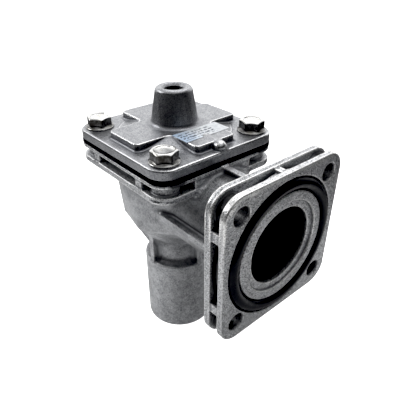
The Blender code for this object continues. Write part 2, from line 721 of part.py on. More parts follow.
def make_diaphragm(parent, look):
    """A square rim with a dished web and holes for the bolts and the clamp screw."""
    rim = square(SQUARE_HALF + RIM_PROUD, CORNER_RADIUS + RIM_PROUD)
    low, high = FLANGE_TOP + CLAMP_GAP, RIM_TOP - CLAMP_GAP
    made = place("diaphragm", prism("diaphragm", rim, low, high), parent, look=look)
    join(made, turned("web", bowl_profile()))
    cut(made, turned("hollow", hollow_profile()))
    bore = circle(SCREW_RADIUS + SCREW_CLEARANCE)
    cut(made, prism("screw_hole", bore, WEB_LOW - SEAT_GAP, WEB_TOP + SEAT_GAP))
    holes = corner_circles(BOLT_AT, BOLT_RADIUS + BOLT_CLEARANCE, HOLE_STEPS)
    cut(made, prisms("rim_holes", holes, low - SEAT_GAP, high + SEAT_GAP))
    return made


def make_closing_pieces(axis, rubber, steel):
    inner = SCREW_RADIUS + SCREW_CLEARANCE
    edge = DISC_THICKNESS / 4
    disc = [(inner, DISC_LOW), (DISC_RADIUS - edge, DISC_LOW), (DISC_RADIUS, DISC_LOW + edge)]
    disc += [(DISC_RADIUS, DISC_TOP), (inner, DISC_TOP)]
    place("seat_disc", turned("seat_disc", disc, BORE_STEPS, True), axis, look=rubber)
    washer = [(inner, WASHER_LOW), (WASHER_RADIUS, WASHER_LOW)]
    washer += [(WASHER_RADIUS, WASHER_TOP), (inner, WASHER_TOP)]
    place("lower_washer", turned("lower_washer", washer, SMALL_STEPS, True), axis, look=steel)
    rise = PLATE_TOP + PLATE_LIP
    slant = PLATE_RADIUS - PLATE_THICKNESS
    plate = [(inner, PLATE_LOW), (PLATE_RADIUS, PLATE_LOW), (PLATE_RADIUS, rise), (slant, rise)]
    plate += [(slant - PLATE_LIP / 2, PLATE_TOP), (inner, PLATE_TOP)]
    place("support_plate", turned("support_plate", plate, BORE_STEPS, True), axis, look=steel)
    nut = prism("lock_nut", hexagon(SCREW_ACROSS_FLATS, 30), NUT_LOW, NUT_TOP)
    nut = place("lock_nut", nut, axis, look=steel)
    cut(nut, prism("nut_bore", circle(inner), NUT_LOW - SEAT_GAP, NUT_TOP + SEAT_GAP))
    head_low = SCREW_HEAD_TOP - SCREW_HEAD
    head = prism("clamp_screw", hexagon(SCREW_ACROSS_FLATS), head_low, SCREW_HEAD_TOP)
    screw = place("clamp_screw", head, axis, look=steel)
    top, start = NUT_TOP + SCREW_END, SCREW_HEAD_TOP - SCREW_HEAD / 2
    join(screw, prism("screw_shank", circle(SCREW_RADIUS), start, top))


def make_spring(parent, look):
    """A coil with one dead turn at each end, between the support plate and the cover."""
    low = PLATE_TOP + SEAT_GAP + SPRING_WIRE / 2
    high = SPRING_ROOM - SEAT_GAP - SPRING_WIRE / 2
    radius = SPRING_RADIUS - SPRING_WIRE / 2
    step = SPRING_WIRE + SEAT_GAP / 3
    curve = bpy.data.curves.new("spring", "CURVE")
    curve.dimensions = "3D"
    curve.bevel_depth = SPRING_WIRE / 2
    curve.bevel_resolution = 2
    curve.use_fill_caps = True
    count = SPRING_TURNS * 16
    line = curve.splines.new("POLY")
    line.points.add(count)
    dead = 1 / SPRING_TURNS
    for i in range(count + 1):
        way = i / count
        open_way = min(max((way - dead) / (1 - 2 * dead), 0.0), 1.0)
        ends = (min(way, dead) + min(max(way - 1 + dead, 0.0), dead)) / dead * step
        height = low + ends + open_way * (high - low - 2 * step)
        angle = 2 * math.pi * SPRING_TURNS * way
        line.points[i].co = (radius * math.cos(angle), radius * math.sin(angle), height, 1.0)
    made = bpy.data.objects.new("spring", curve)
    made.parent = parent
    curve.materials.append(look)
    bpy.context.scene.collection.objects.link(made)
    return made


def main():
    clear_scene()
    frame = empty("valve_frame", (STAND_X, 0.0, -TUBE_END))
    axis = empty("lift_axis", (0.0, 0.0, 0.0), frame)
    casting = material("cast_body", ALUMINIUM, 0.5, 0.75)
    make_body(frame, casting)
    make_inlet(frame, casting)
    make_outlet(frame, casting)
    make_cover(frame, material("cast_cover", (0.57, 0.57, 0.56), 0.5, 0.75))
    make_bolts(frame, material("zinc_bolt", (0.72, 0.71, 0.68), 0.28, 1.0))
    make_ring(frame, material("ring_rubber", DARK_RUBBER, 0.25, 0.0))
    make_label(frame, material("foil", (0.82, 0.84, 0.88), 0.3, 0.6))
    make_diaphragm(frame, material("diaphragm_rubber", DARK_RUBBER, 0.55, 0.0))
    make_spring(frame, material("spring_steel", (0.6, 0.6, 0.6), 0.3, 1.0))
    rubber = material("disc_rubber", (0.05, 0.05, 0.05), 0.5, 0.0)
    make_closing_pieces(axis, rubber, material("bright_steel", (0.7, 0.7, 0.7), 0.3, 1.0))


main()
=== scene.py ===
"""Pulse valve: the fine surface, the finishes and the studio, laid over the fixed frame."""

import math

import bmesh
import bpy
import numpy as np
from bpy.props import FloatProperty, FloatVectorProperty, IntProperty, PointerProperty
from mathutils import Matrix, Vector


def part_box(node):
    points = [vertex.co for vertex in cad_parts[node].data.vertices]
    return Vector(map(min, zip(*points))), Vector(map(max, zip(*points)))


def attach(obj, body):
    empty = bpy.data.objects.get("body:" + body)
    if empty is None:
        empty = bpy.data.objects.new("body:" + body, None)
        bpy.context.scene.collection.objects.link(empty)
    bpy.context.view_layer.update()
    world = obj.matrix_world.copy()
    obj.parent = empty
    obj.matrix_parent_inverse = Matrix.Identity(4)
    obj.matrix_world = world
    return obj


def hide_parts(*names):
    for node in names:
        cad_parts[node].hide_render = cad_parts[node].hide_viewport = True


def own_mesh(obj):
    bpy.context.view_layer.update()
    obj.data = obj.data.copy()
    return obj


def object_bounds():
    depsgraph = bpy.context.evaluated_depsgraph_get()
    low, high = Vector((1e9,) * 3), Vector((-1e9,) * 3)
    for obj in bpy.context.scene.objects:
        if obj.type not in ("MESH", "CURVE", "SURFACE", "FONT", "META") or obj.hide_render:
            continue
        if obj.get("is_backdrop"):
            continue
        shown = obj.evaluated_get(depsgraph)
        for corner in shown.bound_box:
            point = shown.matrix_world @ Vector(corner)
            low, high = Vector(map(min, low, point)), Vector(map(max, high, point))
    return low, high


bl_info = {
    "name": "Pulse valve",
    "version": (1, 0, 0),
    "blender": (4, 5, 0),
    "location": "3D View > Sidebar > Valve",
    "description": "Makes the castings, bolts, rubber pieces and studio of a flanged pulse valve",
    "category": "Add Mesh",
}

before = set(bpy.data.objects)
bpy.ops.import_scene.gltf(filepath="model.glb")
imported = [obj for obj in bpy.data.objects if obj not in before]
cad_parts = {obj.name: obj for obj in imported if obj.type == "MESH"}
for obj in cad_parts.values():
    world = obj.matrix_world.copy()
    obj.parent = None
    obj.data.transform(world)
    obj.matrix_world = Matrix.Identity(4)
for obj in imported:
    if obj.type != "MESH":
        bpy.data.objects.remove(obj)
CAD_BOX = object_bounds()


def node_box(name):
    """Lowest and highest corner of a frame node, in millimetres."""
    return [np.array(corner) * 1000 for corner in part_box(name)]


# Everything below is measured in millimetres from the valve's axis and the bolts' seat.
AXIS_X = float(np.mean([corner[0] for corner in node_box("support_plate")]))
BOSS_TOP = 19.6
SEAT_PLANE = float(node_box("cover")[1][2]) - BOSS_TOP
DUCT = -29.4
SQUARE, SQUARE_CORNER = 32.9, 8.3
BOLT_AT, HOLE_AT = 24.6, 24.5
FACE_X = 66.9


# ---- Distance fields: each gives the distance to a surface, below zero inside ----

def merged(a, b, width):
    """Union whose inner corner is filled: the smaller distance, lowered by up to a quarter of width near a tie."""
    gap = np.maximum(width - np.abs(a - b), 0) / width
    return np.minimum(a, b) - gap * gap * width * 0.25


def carved(solid, void, width):
    """The solid without the void, with a soft rim: the negative of a filled union."""
    return -merged(-solid, void, width)


def between(t, low, high):
    """Distance to a slab: how far t is from its middle, less half its thickness."""
    return np.abs(t - (low + high) / 2) - (high - low) / 2


def rounded_square(u, v, half, corner):
    """Distance to a square whose corners are quarter circles."""
    a, b = np.abs(u) - (half - corner), np.abs(v) - (half - corner)
    return np.hypot(np.maximum(a, 0), np.maximum(b, 0)) + np.minimum(np.maximum(a, b), 0) - corner


def prism(flat, t, low, high, edge):
    """A flat shape carried from low to high, with its rims rounded by edge."""
    a, b = flat + edge, between(t, low, high) + edge
    return np.hypot(np.maximum(a, 0), np.maximum(b, 0)) + np.minimum(np.maximum(a, b), 0) - edge


def body_casting(x, y, z):
    """Globe, neck and tube round Z, duct along X, and two ribbed flanges, less all the bores."""
    r, d = np.hypot(x, y), z - DUCT
    ax, ay, ad = np.abs(x), np.abs(y), np.abs(d)
    p = np.hypot(y, d)
    ball = np.where(d > 0, r, np.hypot(r, d))
    globe = np.maximum(ball - 28.6, z + 7.6)
    neck = np.maximum(r - 13.7, between(z, -70, -46))
    stem = merged(neck, prism(r - 17.7, z, -108.8, -67.8, 1.0), 3.6)
    shell = merged(globe, stem, 6.0)
    fins = np.minimum(np.maximum(ay - 1.5, ax - 17.4), np.maximum(ax - 1.5, ay - 17.4))
    shell = merged(shell, prism(fins, z, -69.5, -44, 0.5), 1.8)
    duct = np.maximum(p - 20.4, between(x, 4, 58))
    side = prism(np.maximum(ay - 23.9, ad - 1.4), x, 18, 58.4, 0.5)
    web = prism(np.maximum(ay - 1.4, between(z, -20, -6.7)), x, 22, 58.4, 0.4)
    arm = merged(duct, np.minimum(side, web), 1.4)
    solid = merged(shell, arm, 3.4)
    flat = rounded_square(x, y, SQUARE, SQUARE_CORNER)
    plates = np.minimum(prism(flat, z, -8.2, -6.6, 0.4), prism(flat, z, -15.2, -12.3, 0.45))
    inner = np.hypot(ax - BOLT_AT, ay - BOLT_AT) - 6.0
    inner = np.minimum(inner, np.maximum(between(ax, 15.5, BOLT_AT), between(ay, 15.5, BOLT_AT)))
    inner = np.minimum(inner, np.maximum(between(ax, 14.5, 18.7), between(ay, 19, 32.45)))
    inner = np.minimum(inner, np.maximum(between(ay, 14.5, 18.7), between(x, -32.45, -19)))
    inner = np.minimum(inner, np.maximum(ay - 15.6, between(x, 19, 32.6)))
    solid = merged(solid, merged(plates, np.maximum(inner, between(z, -13, -7.5)), 0.8), 2.2)
    flat = rounded_square(y, d, 32.7, 8.7)
    plates = np.minimum(prism(flat, x, 56.9, 60.0, 0.45), prism(flat, x, 64.1, FACE_X, 0.45))
    inner = np.hypot(ay - HOLE_AT, ad - HOLE_AT) - 6.0
    inner = np.minimum(inner, np.maximum(between(ay, 15.5, HOLE_AT), between(ad, 15.5, HOLE_AT)))
    inner = np.minimum(inner, np.maximum(between(ad, 14.5, 18.7), between(ay, 14, 32.25)))
    inner = np.minimum(inner, np.maximum(ay - 1.55, between(ad, 20, 32.25)))
    inner = np.minimum(inner, p - 26.5)
    inner = np.maximum(inner, between(x, 59.5, 64.6))
    inner = np.minimum(inner, np.maximum(p - 30.9, between(x, 61.0, 64.6)))
    solid = merged(solid, merged(plates, inner, 0.7), 2.4)
    seat = prism(r - 13.8, z, -130, -14, 0.8)
    void = carved(ball - 25.6, seat, 2.0)
    void = np.minimum(void, np.maximum(r - 11.2, z + 12))
    socket = np.maximum(r - 12.05, z + 86.8)
    socket = np.minimum(socket, np.maximum((r - 13.45 + (z + 108.8)) * 0.707, z + 105))
    void = np.minimum(void, socket)
    void = np.minimum(void, np.maximum(p - 16.8, 16.5 - x))
    void = np.minimum(void, np.maximum(p - 20.0, 65.7 - x))
    void = np.minimum(void, np.maximum(np.abs(p - 26.85) - 2.95, 62.3 - x))
    void = np.minimum(void, np.maximum(np.hypot(ax - BOLT_AT, ay - BOLT_AT) - 3.3, -18 - z))
    void = np.minimum(void, np.maximum(np.hypot(ay - HOLE_AT, ad - HOLE_AT) - 4.0, 52 - x))
    return carved(solid, void, 0.5)


def cover_casting(x, y, z):
    """Rounded square slab, cross-shaped pad, coned corners, tapered boss and stub, less the room below."""
    r = np.hypot(x, y)
    ax, ay = np.abs(x), np.abs(y)
    slab = prism(rounded_square(x, y, SQUARE, SQUARE_CORNER), z, -4.6, 0, 0.85)
    long = rounded_square_pair(ax, ay, 28.2, 10.7, 2.2)
    wide = rounded_square_pair(ay, ax, 28.2, 10.7, 2.2)
    cross = prism(merged(long, wide, 3.0), z, -3, 3.25, 0.55)
    solid = merged(slab, cross, 1.2)
    cone = np.maximum((z - 0.325 * (25.0 - r)) * 0.951, np.maximum(z - 3.15, -3 - z))
    reach = 25.4 + 3.6 * within(y - x, -28, 6)
    solid = np.maximum(merged(solid, np.maximum(cone, r - reach), 1.0), z - 3.25)
    side = (r - 10.9 + 0.172 * np.maximum(z - 3.25, -1)) * 0.985
    boss = np.maximum(side, -2 - z)
    a, b = boss + 1.5, z - BOSS_TOP + 1.5
    boss = np.hypot(np.maximum(a, 0), np.maximum(b, 0)) + np.minimum(np.maximum(a, b), 0) - 1.5
    solid = merged(solid, boss, 2.2)
    run = x - np.clip(x, 22, 30.1)
    stub = np.sqrt(run * run + y * y + (z - 0.75) ** 2) - 2.95
    solid = merged(solid, stub, 0.9)
    void = np.maximum((z + 4.6 - 0.368 * (25.6 - r)) * 0.938, z + 0.15)
    void = np.maximum(void, r - 25.6)
    void = np.minimum(void, np.maximum(r - 7.0, z - 6.2))
    void = np.minimum(void, np.maximum(r - 4.25, -z - 5))
    void = np.minimum(void, np.maximum((r - 5.5 - (z - BOSS_TOP)) * 0.707, 12 - z))
    void = np.minimum(void, np.hypot(ax - BOLT_AT, ay - BOLT_AT) - 3.3)
    return carved(solid, void, 0.45)


def rounded_square_pair(u, v, far, near, corner):
    """Distance to a rectangle of half sizes far and near, with rounded corners."""
    a, b = u - (far - corner), v - (near - corner)
    return np.hypot(np.maximum(a, 0), np.maximum(b, 0)) + np.minimum(np.maximum(a, b), 0) - corner


# ---- From a field to a surface ----

CORNERS = np.array([[i, j, k] for i in (0, 1) for j in (0, 1) for k in (0, 1)])
CELL_EDGES = [(0, 4), (1, 5), (2, 6), (3, 7), (0, 2), (1, 3), (4, 6), (5, 7), (0, 1), (2, 3), (4, 5), (6, 7)]


def slope(field, points, reach):
    """Direction in which the field grows, from central differences."""
    columns = []
    for axis in range(3):
        shift = np.zeros(3)
        shift[axis] = reach
        ahead, behind = points + shift, points - shift
        columns.append(field(*ahead.T) - field(*behind.T))
    return np.stack(columns, 1) / (2 * reach)


def settle(field, points, rounds=3, most=0.25):
    """Points moved along the slope until the field is zero there: a few Newton steps, each limited."""
    for _ in range(rounds):
        way = slope(field, points, 0.02)
        steep = np.maximum((way * way).sum(1), 0.05)
        move = way * (field(*points.T) / steep)[:, None]
        length = np.linalg.norm(move, axis=1, keepdims=True)
        points = points - move * np.minimum(1, most / np.maximum(length, 1e-9))
    return points


def skin(field, low, high, step):
    """Zero surface of a field: a point in each grid cell that it crosses, at the mean of its crossings
    of the cell's edges, and a four-sided face round each grid edge that it crosses."""
    lines = [np.arange(a, b + step, step, dtype=np.float32) for a, b in zip(low, high)]
    value = field(lines[0][:, None, None], lines[1][None, :, None], lines[2][None, None, :])
    value = np.ascontiguousarray(value, dtype=np.float32)
    inside = value < 0
    count = np.zeros(np.array(value.shape) - 1, np.uint8)
    nx, ny, nz = count.shape
    for i, j, k in CORNERS:
        count += inside[i:i + nx, j:j + ny, k:k + nz]
    cells = np.argwhere((count > 0) & (count < 8))
    at = cells[:, None, :] + CORNERS[None]
    corner_value = value[at[..., 0], at[..., 1], at[..., 2]]
    total, crossings = np.zeros((len(cells), 3)), np.zeros(len(cells))
    for a, b in CELL_EDGES:
        fa, fb = corner_value[:, a], corner_value[:, b]
        crossed = (fa < 0) != (fb < 0)
        way = np.where(crossed, fa / np.where(crossed, fa - fb, 1), 0)
        spot = CORNERS[a] + (CORNERS[b] - CORNERS[a]) * way[:, None]
        total += spot * crossed[:, None]
        crossings += crossed
    points = (cells + total / crossings[:, None]) * step + np.array(low)
    number = np.full(count.shape, -1, np.int32)
    number[cells[:, 0], cells[:, 1], cells[:, 2]] = np.arange(len(cells))
    faces = []
    for axis in range(3):
        u, v = (axis + 1) % 3, (axis + 2) % 3
        first = np.take(inside, range(inside.shape[axis] - 1), axis)
        last = np.take(inside, range(1, inside.shape[axis]), axis)
        edge = np.argwhere(first != last)
        edge = edge[(edge[:, u] > 0) & (edge[:, v] > 0)]
        edge = edge[(edge[:, u] < count.shape[u]) & (edge[:, v] < count.shape[v])]
        outward = first[edge[:, 0], edge[:, 1], edge[:, 2]]
        ring = []
        for du, dv in ((-1, -1), (0, -1), (0, 0), (-1, 0)):
            cell = edge.copy()
            cell[:, u] += du
            cell[:, v] += dv
            ring.append(number[cell[:, 0], cell[:, 1], cell[:, 2]])
        quad = np.stack(ring, 1)
        faces.append(np.where(outward[:, None], quad, quad[:, ::-1]))
    return settle(field, points), np.concatenate(faces)


def to_frame(points):
    """Millimetres from the axis and the bolts' seat, made metres in the frame."""
    return (np.asarray(points, float) + (AXIS_X, 0.0, SEAT_PLANE)) * 0.001


def fill_mesh(name, points, faces):
    mesh = bpy.data.meshes.new(name)
    mesh.from_pydata(to_frame(points).tolist(), [], faces.tolist())
    mesh.shade_smooth()
    return mesh


def add_piece(name, mesh, look, body, replaced=()):
    """Puts a finished mesh into the scene on its body, in place of frame nodes."""
    piece = bpy.data.objects.new(name, mesh)
    bpy.context.scene.collection.objects.link(piece)
    if look:
        mesh.materials.clear()
        mesh.materials.append(look)
    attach(piece, body)
    if replaced:
        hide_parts(*replaced)
    return piece


def wear_and_sheen(field, points, reach):
    """How convex the surface is at each point: the sum of the field's second differences, from -1 in a
    sharp hollow to 1 on a sharp edge. Edges are lightened by it, as wear and painted highlight, and hollows darkened,
    as painted shade."""
    total = -6 * field(*points.T)
    for axis in range(3):
        shift = np.zeros(3)
        shift[axis] = reach
        total += field(*(points + shift).T) + field(*(points - shift).T)
    return np.clip(total / reach**2 * 0.9, -1, 1)


def put_attribute(mesh, name, values):
    mesh.attributes.new(name, "FLOAT", "POINT").data.foreach_set("value", np.asarray(values, np.float32))


def within(value, limit, band):
    """1 where the value is under the limit, falling to 0 over the band."""
    return np.clip((limit - value) / band, 0, 1)


def body_shade(points):
    """Painted shade by how deep inside a point lies, in places light hardly reaches: 1 in the bores, the chamber and
    the outlet's socket, less in the holes, pockets, slots and nooks, on the tube's ledge and the side ribs' tops, and
    along the duct.
    """
    x, y, z = points.T
    r, p = np.hypot(x, y), np.hypot(y, z - DUCT)
    bore = within(p, 18.0, 0.9) * within(x, 65.6, 2.0) * within(-x, -14, 2.0)
    room = within(np.hypot(r, np.minimum(z - DUCT, 0)), 26.9, 0.9) * within(z, -7.4, 1.5)
    socket = within(r, 12.9, 0.5) * within(z, -50, 2.0) * within(-z, 107.8, 0.8)
    holes = within(np.hypot(np.abs(y) - HOLE_AT, np.abs(z - DUCT) - HOLE_AT), 4.3, 0.25) * within(x, 66.4, 1.0)
    deep = within(rounded_square(x, y, SQUARE, SQUARE_CORNER), -1.5, 3.0)
    pocket = deep * within(np.abs(z + 10.25), 2.2, 0.4) * within(x, 32, 1.0)
    deep = within(rounded_square(y, z - DUCT, 32.7, 8.7), -0.6, 1.2)
    slot = deep * within(np.abs(x - 62.05), 2.2, 0.4) * within(-np.abs(y), -20, 3.0)
    nook = within(np.abs(y), 7, 3.0) * within(-z, 14, 2.0) * within(-x, -34, 1.0) * within(x, 56.4, 0.5)
    nook = nook * within(-np.abs(y), -1.2, 0.3)
    ledge = within(np.abs(z + 66.4), 2.2, 1.4) * within(-r, -13.3, 0.3) * within(r, 17.5, 0.4)
    shelf = within(np.abs(z - DUCT - 2.2), 1.1, 1.2) * within(-np.abs(y), -19.6, 0.6) * within(np.abs(y), 23.3, 0.3)
    shelf = shelf * within(-x, -17, 2.0) * within(x, 56.6, 1.0)
    arm = within(-x, -29, 6.0) * within(x, 56.4, 0.5) * within(p, 23.0, 0.6) * within(z, -17, 3.0)
    # Each mark is painted shade, weighted by how dark it is painted.
    marks = [bore, room, socket, 0.8 * holes, 0.85 * pocket, 0.95 * slot, 0.75 * nook, 0.6 * ledge, 0.8 * shelf]
    marks.append(0.36 * arm)
    return np.max(marks, 0)


def body_grain_and_painted_lift(points):
    """How grainy the casting's skin is, and how far its tone is lifted as painted light: 1 on the inlet flange, less
    on the upper one and the rest.
    """
    x, y, z = points.T
    least = 0.15 - 0.1 * within(-z, 50, 4.0)
    return np.maximum(least, np.maximum(within(-x, -54, 2.0), 0.6 * within(-z, 17, 2.0)))


def body_rims(points):
    """How much its edges are lightened, as wear and painted highlight: all of it round the inlet flange, less round
    the upper one.
    """
    x, y, z = points.T
    inlet = within(-rounded_square(y, z - DUCT, 32.7, 8.7), 1.6, 0.8) * within(-x, -54, 2.0)
    upper = within(-rounded_square(x, y, SQUARE, SQUARE_CORNER), 1.6, 0.8) * within(-z, 17, 2.0)
    # Painted highlight: the inlet flange's rims are lightened more towards its top, and twice as much at its upper
    # corner on the -y side.
    inlet = inlet * (0.35 + 0.65 * within(DUCT - z, -12, 12)) * (1 + within(y, -16, 8) * within(DUCT - z, -16, 8))
    lip = within(np.abs(np.hypot(y, z - DUCT) - 18.4), 2.2, 0.5) * within(-x, -62, 2.0)
    return np.maximum(0.3, np.max([inlet, 0.45 * upper, 0.65 * lip], 0))


def cover_rims(points):
    """The cover's upper edges are lightened, as wear and painted highlight, the boss's rim and the slab's lower edge
    less, and those on the -y side less again.
    """
    y, z = points[:, 1], points[:, 2]
    least = 0.25 + 0.65 * within(-z, 3.2, 0.8) - 0.5 * within(-z, -14, 2.0)
    return least * (1 - 0.6 * within(y, -25, 4))


def cover_grain(points):
    """The cover's skin is even, the same all over."""
    return np.full(len(points), 0.55)


def cover_shade(points):
    """Painted shade: 1 in the room under the cover and down the pilot port, and less on the pad's side walls."""
    x, y, z = points.T
    r = np.hypot(x, y)
    port = within(r, 4.6, 0.25) * within(z, BOSS_TOP - 0.9, 0.5)
    room = within(r, 26.2, 0.5) * within(z - 0.368 * (25.6 - r), -4.2, 0.3) * within(z, 0.6, 0.4)
    long = rounded_square_pair(np.abs(x), np.abs(y), 28.2, 10.7, 2.2)
    wide = rounded_square_pair(np.abs(y), np.abs(x), 28.2, 10.7, 2.2)
    # The pad's side walls are darkened by painted shade.
    wall = within(np.abs(merged(long, wide, 3.0)), 0.4, 0.3) * within(np.abs(z - 1.6), 1.2, 0.5)
    wall = wall * within(-r, -12.5, 0.5)
    return np.max([port, room, 0.45 * wall], 0)


def cast_mesh(name, field, low, high, step, most, shade, grain, rims):
    """The field's surface, thinned to at most so many triangles away from edges and marks, settled again, lit by the
    field's own slope, and marked with how convex each point is, which gives edge wear, painted highlight and painted
    crease shade, with painted shade where it lies deep inside, and with its grain and painted lift of tone."""
    points, faces = skin(field, low, high, step)
    mesh = fill_mesh(name, points, faces)
    triangles = 2 * len(faces)
    if triangles > most:
        carrier = bpy.data.objects.new(name, mesh)
        bpy.context.scene.collection.objects.link(carrier)
        deep = shade(points)
        plain = (np.abs(wear_and_sheen(field, points, 0.7)) < 0.12) & ((deep < 0.02) | (deep > 0.98))
        free = carrier.vertex_groups.new(name="free")
        free.add(np.flatnonzero(plain).tolist(), 1.0, "REPLACE")
        thin = carrier.modifiers.new("thin", "DECIMATE")
        thin.vertex_group = "free"
        thin.ratio = most / triangles
        graph = bpy.context.evaluated_depsgraph_get()
        thinned = bpy.data.meshes.new_from_object(carrier.evaluated_get(graph))
        bpy.data.objects.remove(carrier)
        bpy.data.meshes.remove(mesh)
        mesh = thinned
        mesh.name = name
    flat = np.empty(len(mesh.vertices) * 3)
    mesh.vertices.foreach_get("co", flat)
    points = flat.reshape(-1, 3) * 1000 - (AXIS_X, 0.0, SEAT_PLANE)
    points = settle(field, points, 2, 0.1)
    mesh.vertices.foreach_set("co", to_frame(points).ravel())
    mesh.update()
    mesh.shade_smooth()
    normals = slope(field, points, 0.12)
    normals /= np.maximum(np.linalg.norm(normals, axis=1, keepdims=True), 1e-9)
    mesh.normals_split_custom_set_from_vertices(normals.tolist())
    # Convex edges are lightened by this mark, as wear and painted highlight, and concave creases darkened, as painted
    # shade.
    put_attribute(mesh, "wear_and_sheen", wear_and_sheen(field, points, 0.45) * np.where(wear_and_sheen(field, points, 0.45) > 0, rims(points), 1))
    # Painted shade deep inside: bores, chambers, pockets and corners go dark by this mark.
    put_attribute(mesh, "inside", shade(points))
    # Grain mark, which also lifts the tone as painted light.
    put_attribute(mesh, "grain_and_painted_lift", grain(points))
    return mesh


# ---- Surfaces of two parameters ----

def sheet_mesh(name, grid, round_rows=False):
    """A grid of points (rows, columns, 3), closed along its columns, as a mesh with its poles merged."""
    rows, columns = grid.shape[:2]
    number = np.arange(rows * columns).reshape(rows, columns)
    beside = np.roll(number, -1, 1)
    if round_rows:
        lower, upper = number, np.roll(number, -1, 0)
        lower_beside, upper_beside = beside, np.roll(beside, -1, 0)
    else:
        lower, upper, lower_beside, upper_beside = number[:-1], number[1:], beside[:-1], beside[1:]
    faces = np.stack([lower, lower_beside, upper_beside, upper], -1).reshape(-1, 4)
    mesh = fill_mesh(name, grid.reshape(-1, 3), faces)
    bm = bmesh.new()
    bm.from_mesh(mesh)
    bmesh.ops.remove_doubles(bm, verts=bm.verts, dist=1e-7)
    bmesh.ops.recalc_face_normals(bm, faces=bm.faces)
    bm.to_mesh(mesh)
    bm.free()
    mesh.set_sharp_from_angle(angle=math.radians(38))
    return mesh


def turned_grid(profile, steps):
    """A profile of (radius, height) carried round the axis."""
    profile = np.asarray(profile, float)
    angle = np.linspace(0, 2 * np.pi, steps, endpoint=False)
    radius = profile[:, :1]
    height = np.repeat(profile[:, 1:], steps, 1)
    return np.stack([radius * np.cos(angle), radius * np.sin(angle), height], -1)


def eased(profile, radius, steps=4):
    """A closed profile with each corner replaced by a small curve: points between the corner's two neighbours
    weighted as a quadratic curve."""
    profile = np.asarray(profile, float)
    before, after = np.roll(profile, 1, 0), np.roll(profile, -1, 0)
    reach_before = np.linalg.norm(before - profile, axis=1, keepdims=True)
    reach_after = np.linalg.norm(after - profile, axis=1, keepdims=True)
    start = profile + (before - profile) / reach_before * np.minimum(radius, reach_before * 0.45)
    end = profile + (after - profile) / reach_after * np.minimum(radius, reach_after * 0.45)
    way = np.linspace(0, 1, steps + 1)[None, :, None]
    curve = (1 - way) ** 2 * start[:, None] + 2 * way * (1 - way) * profile[:, None] + way**2 * end[:, None]
    return curve.reshape(-1, 2)


def turned_mesh(name, profile, steps=96, edge=0.25):
    """A closed profile turned round the axis, with eased corners."""
    return sheet_mesh(name, turned_grid(eased(profile, edge), steps), round_rows=True)


def hex_radius(angle, across):
    """Distance from a hexagon's centre to its side in each direction."""
    return across / 2 / np.cos((angle + np.pi / 6) % (np.pi / 3) - np.pi / 6)


def bolt_grid(turn):
    """A flanged hexagon bolt from the tip of its thread up to the dish in its head. Rows follow the outline, and
    in the head the radius also follows the hexagon; its chamfer lies where a cone cuts the hexagon."""
    angle = np.linspace(0, 2 * np.pi, 96, endpoint=False)
    one = np.ones_like(angle)
    rows = []
    pitch, depth = 1.0, 0.3
    heights = np.arange(-14.2, -1.2, 0.2)
    ridge = np.abs(((heights[:, None] / pitch - angle / (2 * np.pi)) % 1) - 0.5) * 2
    fade = np.clip((heights + 14.2) / 1.0, 0, 1)[:, None]
    radius = 3.0 - depth * ridge - (1 - fade) * 0.5
    rows.append((0 * one, -14.2 * one))
    rows += list(zip(radius, heights[:, None] * one))
    for r, z in ((3.0, -1.0), (3.0, 0.0), (5.9, 0.02), (6.34, 0.12), (6.5, 0.34), (6.48, 0.56), (6.36, 0.72), (6.2, 0.82)):
        rows.append((r * one, z * one))
    flat = hex_radius(angle + turn, 10.0)
    rows.append((np.minimum(flat + 0.3, 6.1), 0.82 + 0.55 * (6.2 - np.minimum(flat + 0.3, 6.1))))
    rows.append((flat + 0.04, 1.0 + 0.55 * (6.2 - flat)))
    cone = 0.47
    top = 5.3
    shoulder = top - np.maximum(flat - 4.75, 0) * cone
    rows.append((flat, 1.2 + 0.55 * (6.2 - flat)))
    rows.append((flat, 2.4 * one))
    rows.append((flat, 3.4 * one))
    rows.append((flat, shoulder - 0.7))
    rows.append((flat, shoulder - 0.35))
    rows.append((flat, shoulder - 0.12))
    rows.append((flat - 0.12, shoulder + 0.02))
    rows.append((np.minimum(flat - 0.3, 4.72 * one), top - 0.02 - np.maximum(np.minimum(flat - 0.3, 4.72) - 4.72, 0)))
    for r, z in ((4.35, top), (4.12, top - 0.02), (3.95, top - 0.14), (3.75, top - 0.42), (3.4, top - 0.52), (2.0, top - 0.56), (0.0, top - 0.57)):
        rows.append((r * one, z * one))
    radius = np.stack([row[0] for row in rows])
    height = np.stack([row[1] for row in rows])
    return np.stack([radius * np.cos(angle), radius * np.sin(angle), height], -1)


def tube_grid(path, radius, sides):
    """A round section carried along a path: each ring lies across the path's direction there."""
    path = np.asarray(path, float)
    along = np.gradient(path, axis=0)
    along /= np.linalg.norm(along, axis=1, keepdims=True)
    out = path * (1, 1, 0)
    out /= np.linalg.norm(out, axis=1, keepdims=True)
    up = np.cross(along, out)
    angle = np.linspace(0, 2 * np.pi, sides, endpoint=False)
    ring = np.cos(angle)[None, :, None] * out[:, None] + np.sin(angle)[None, :, None] * up[:, None]
    return path[:, None] + ring * np.reshape(radius, (-1, 1, 1))


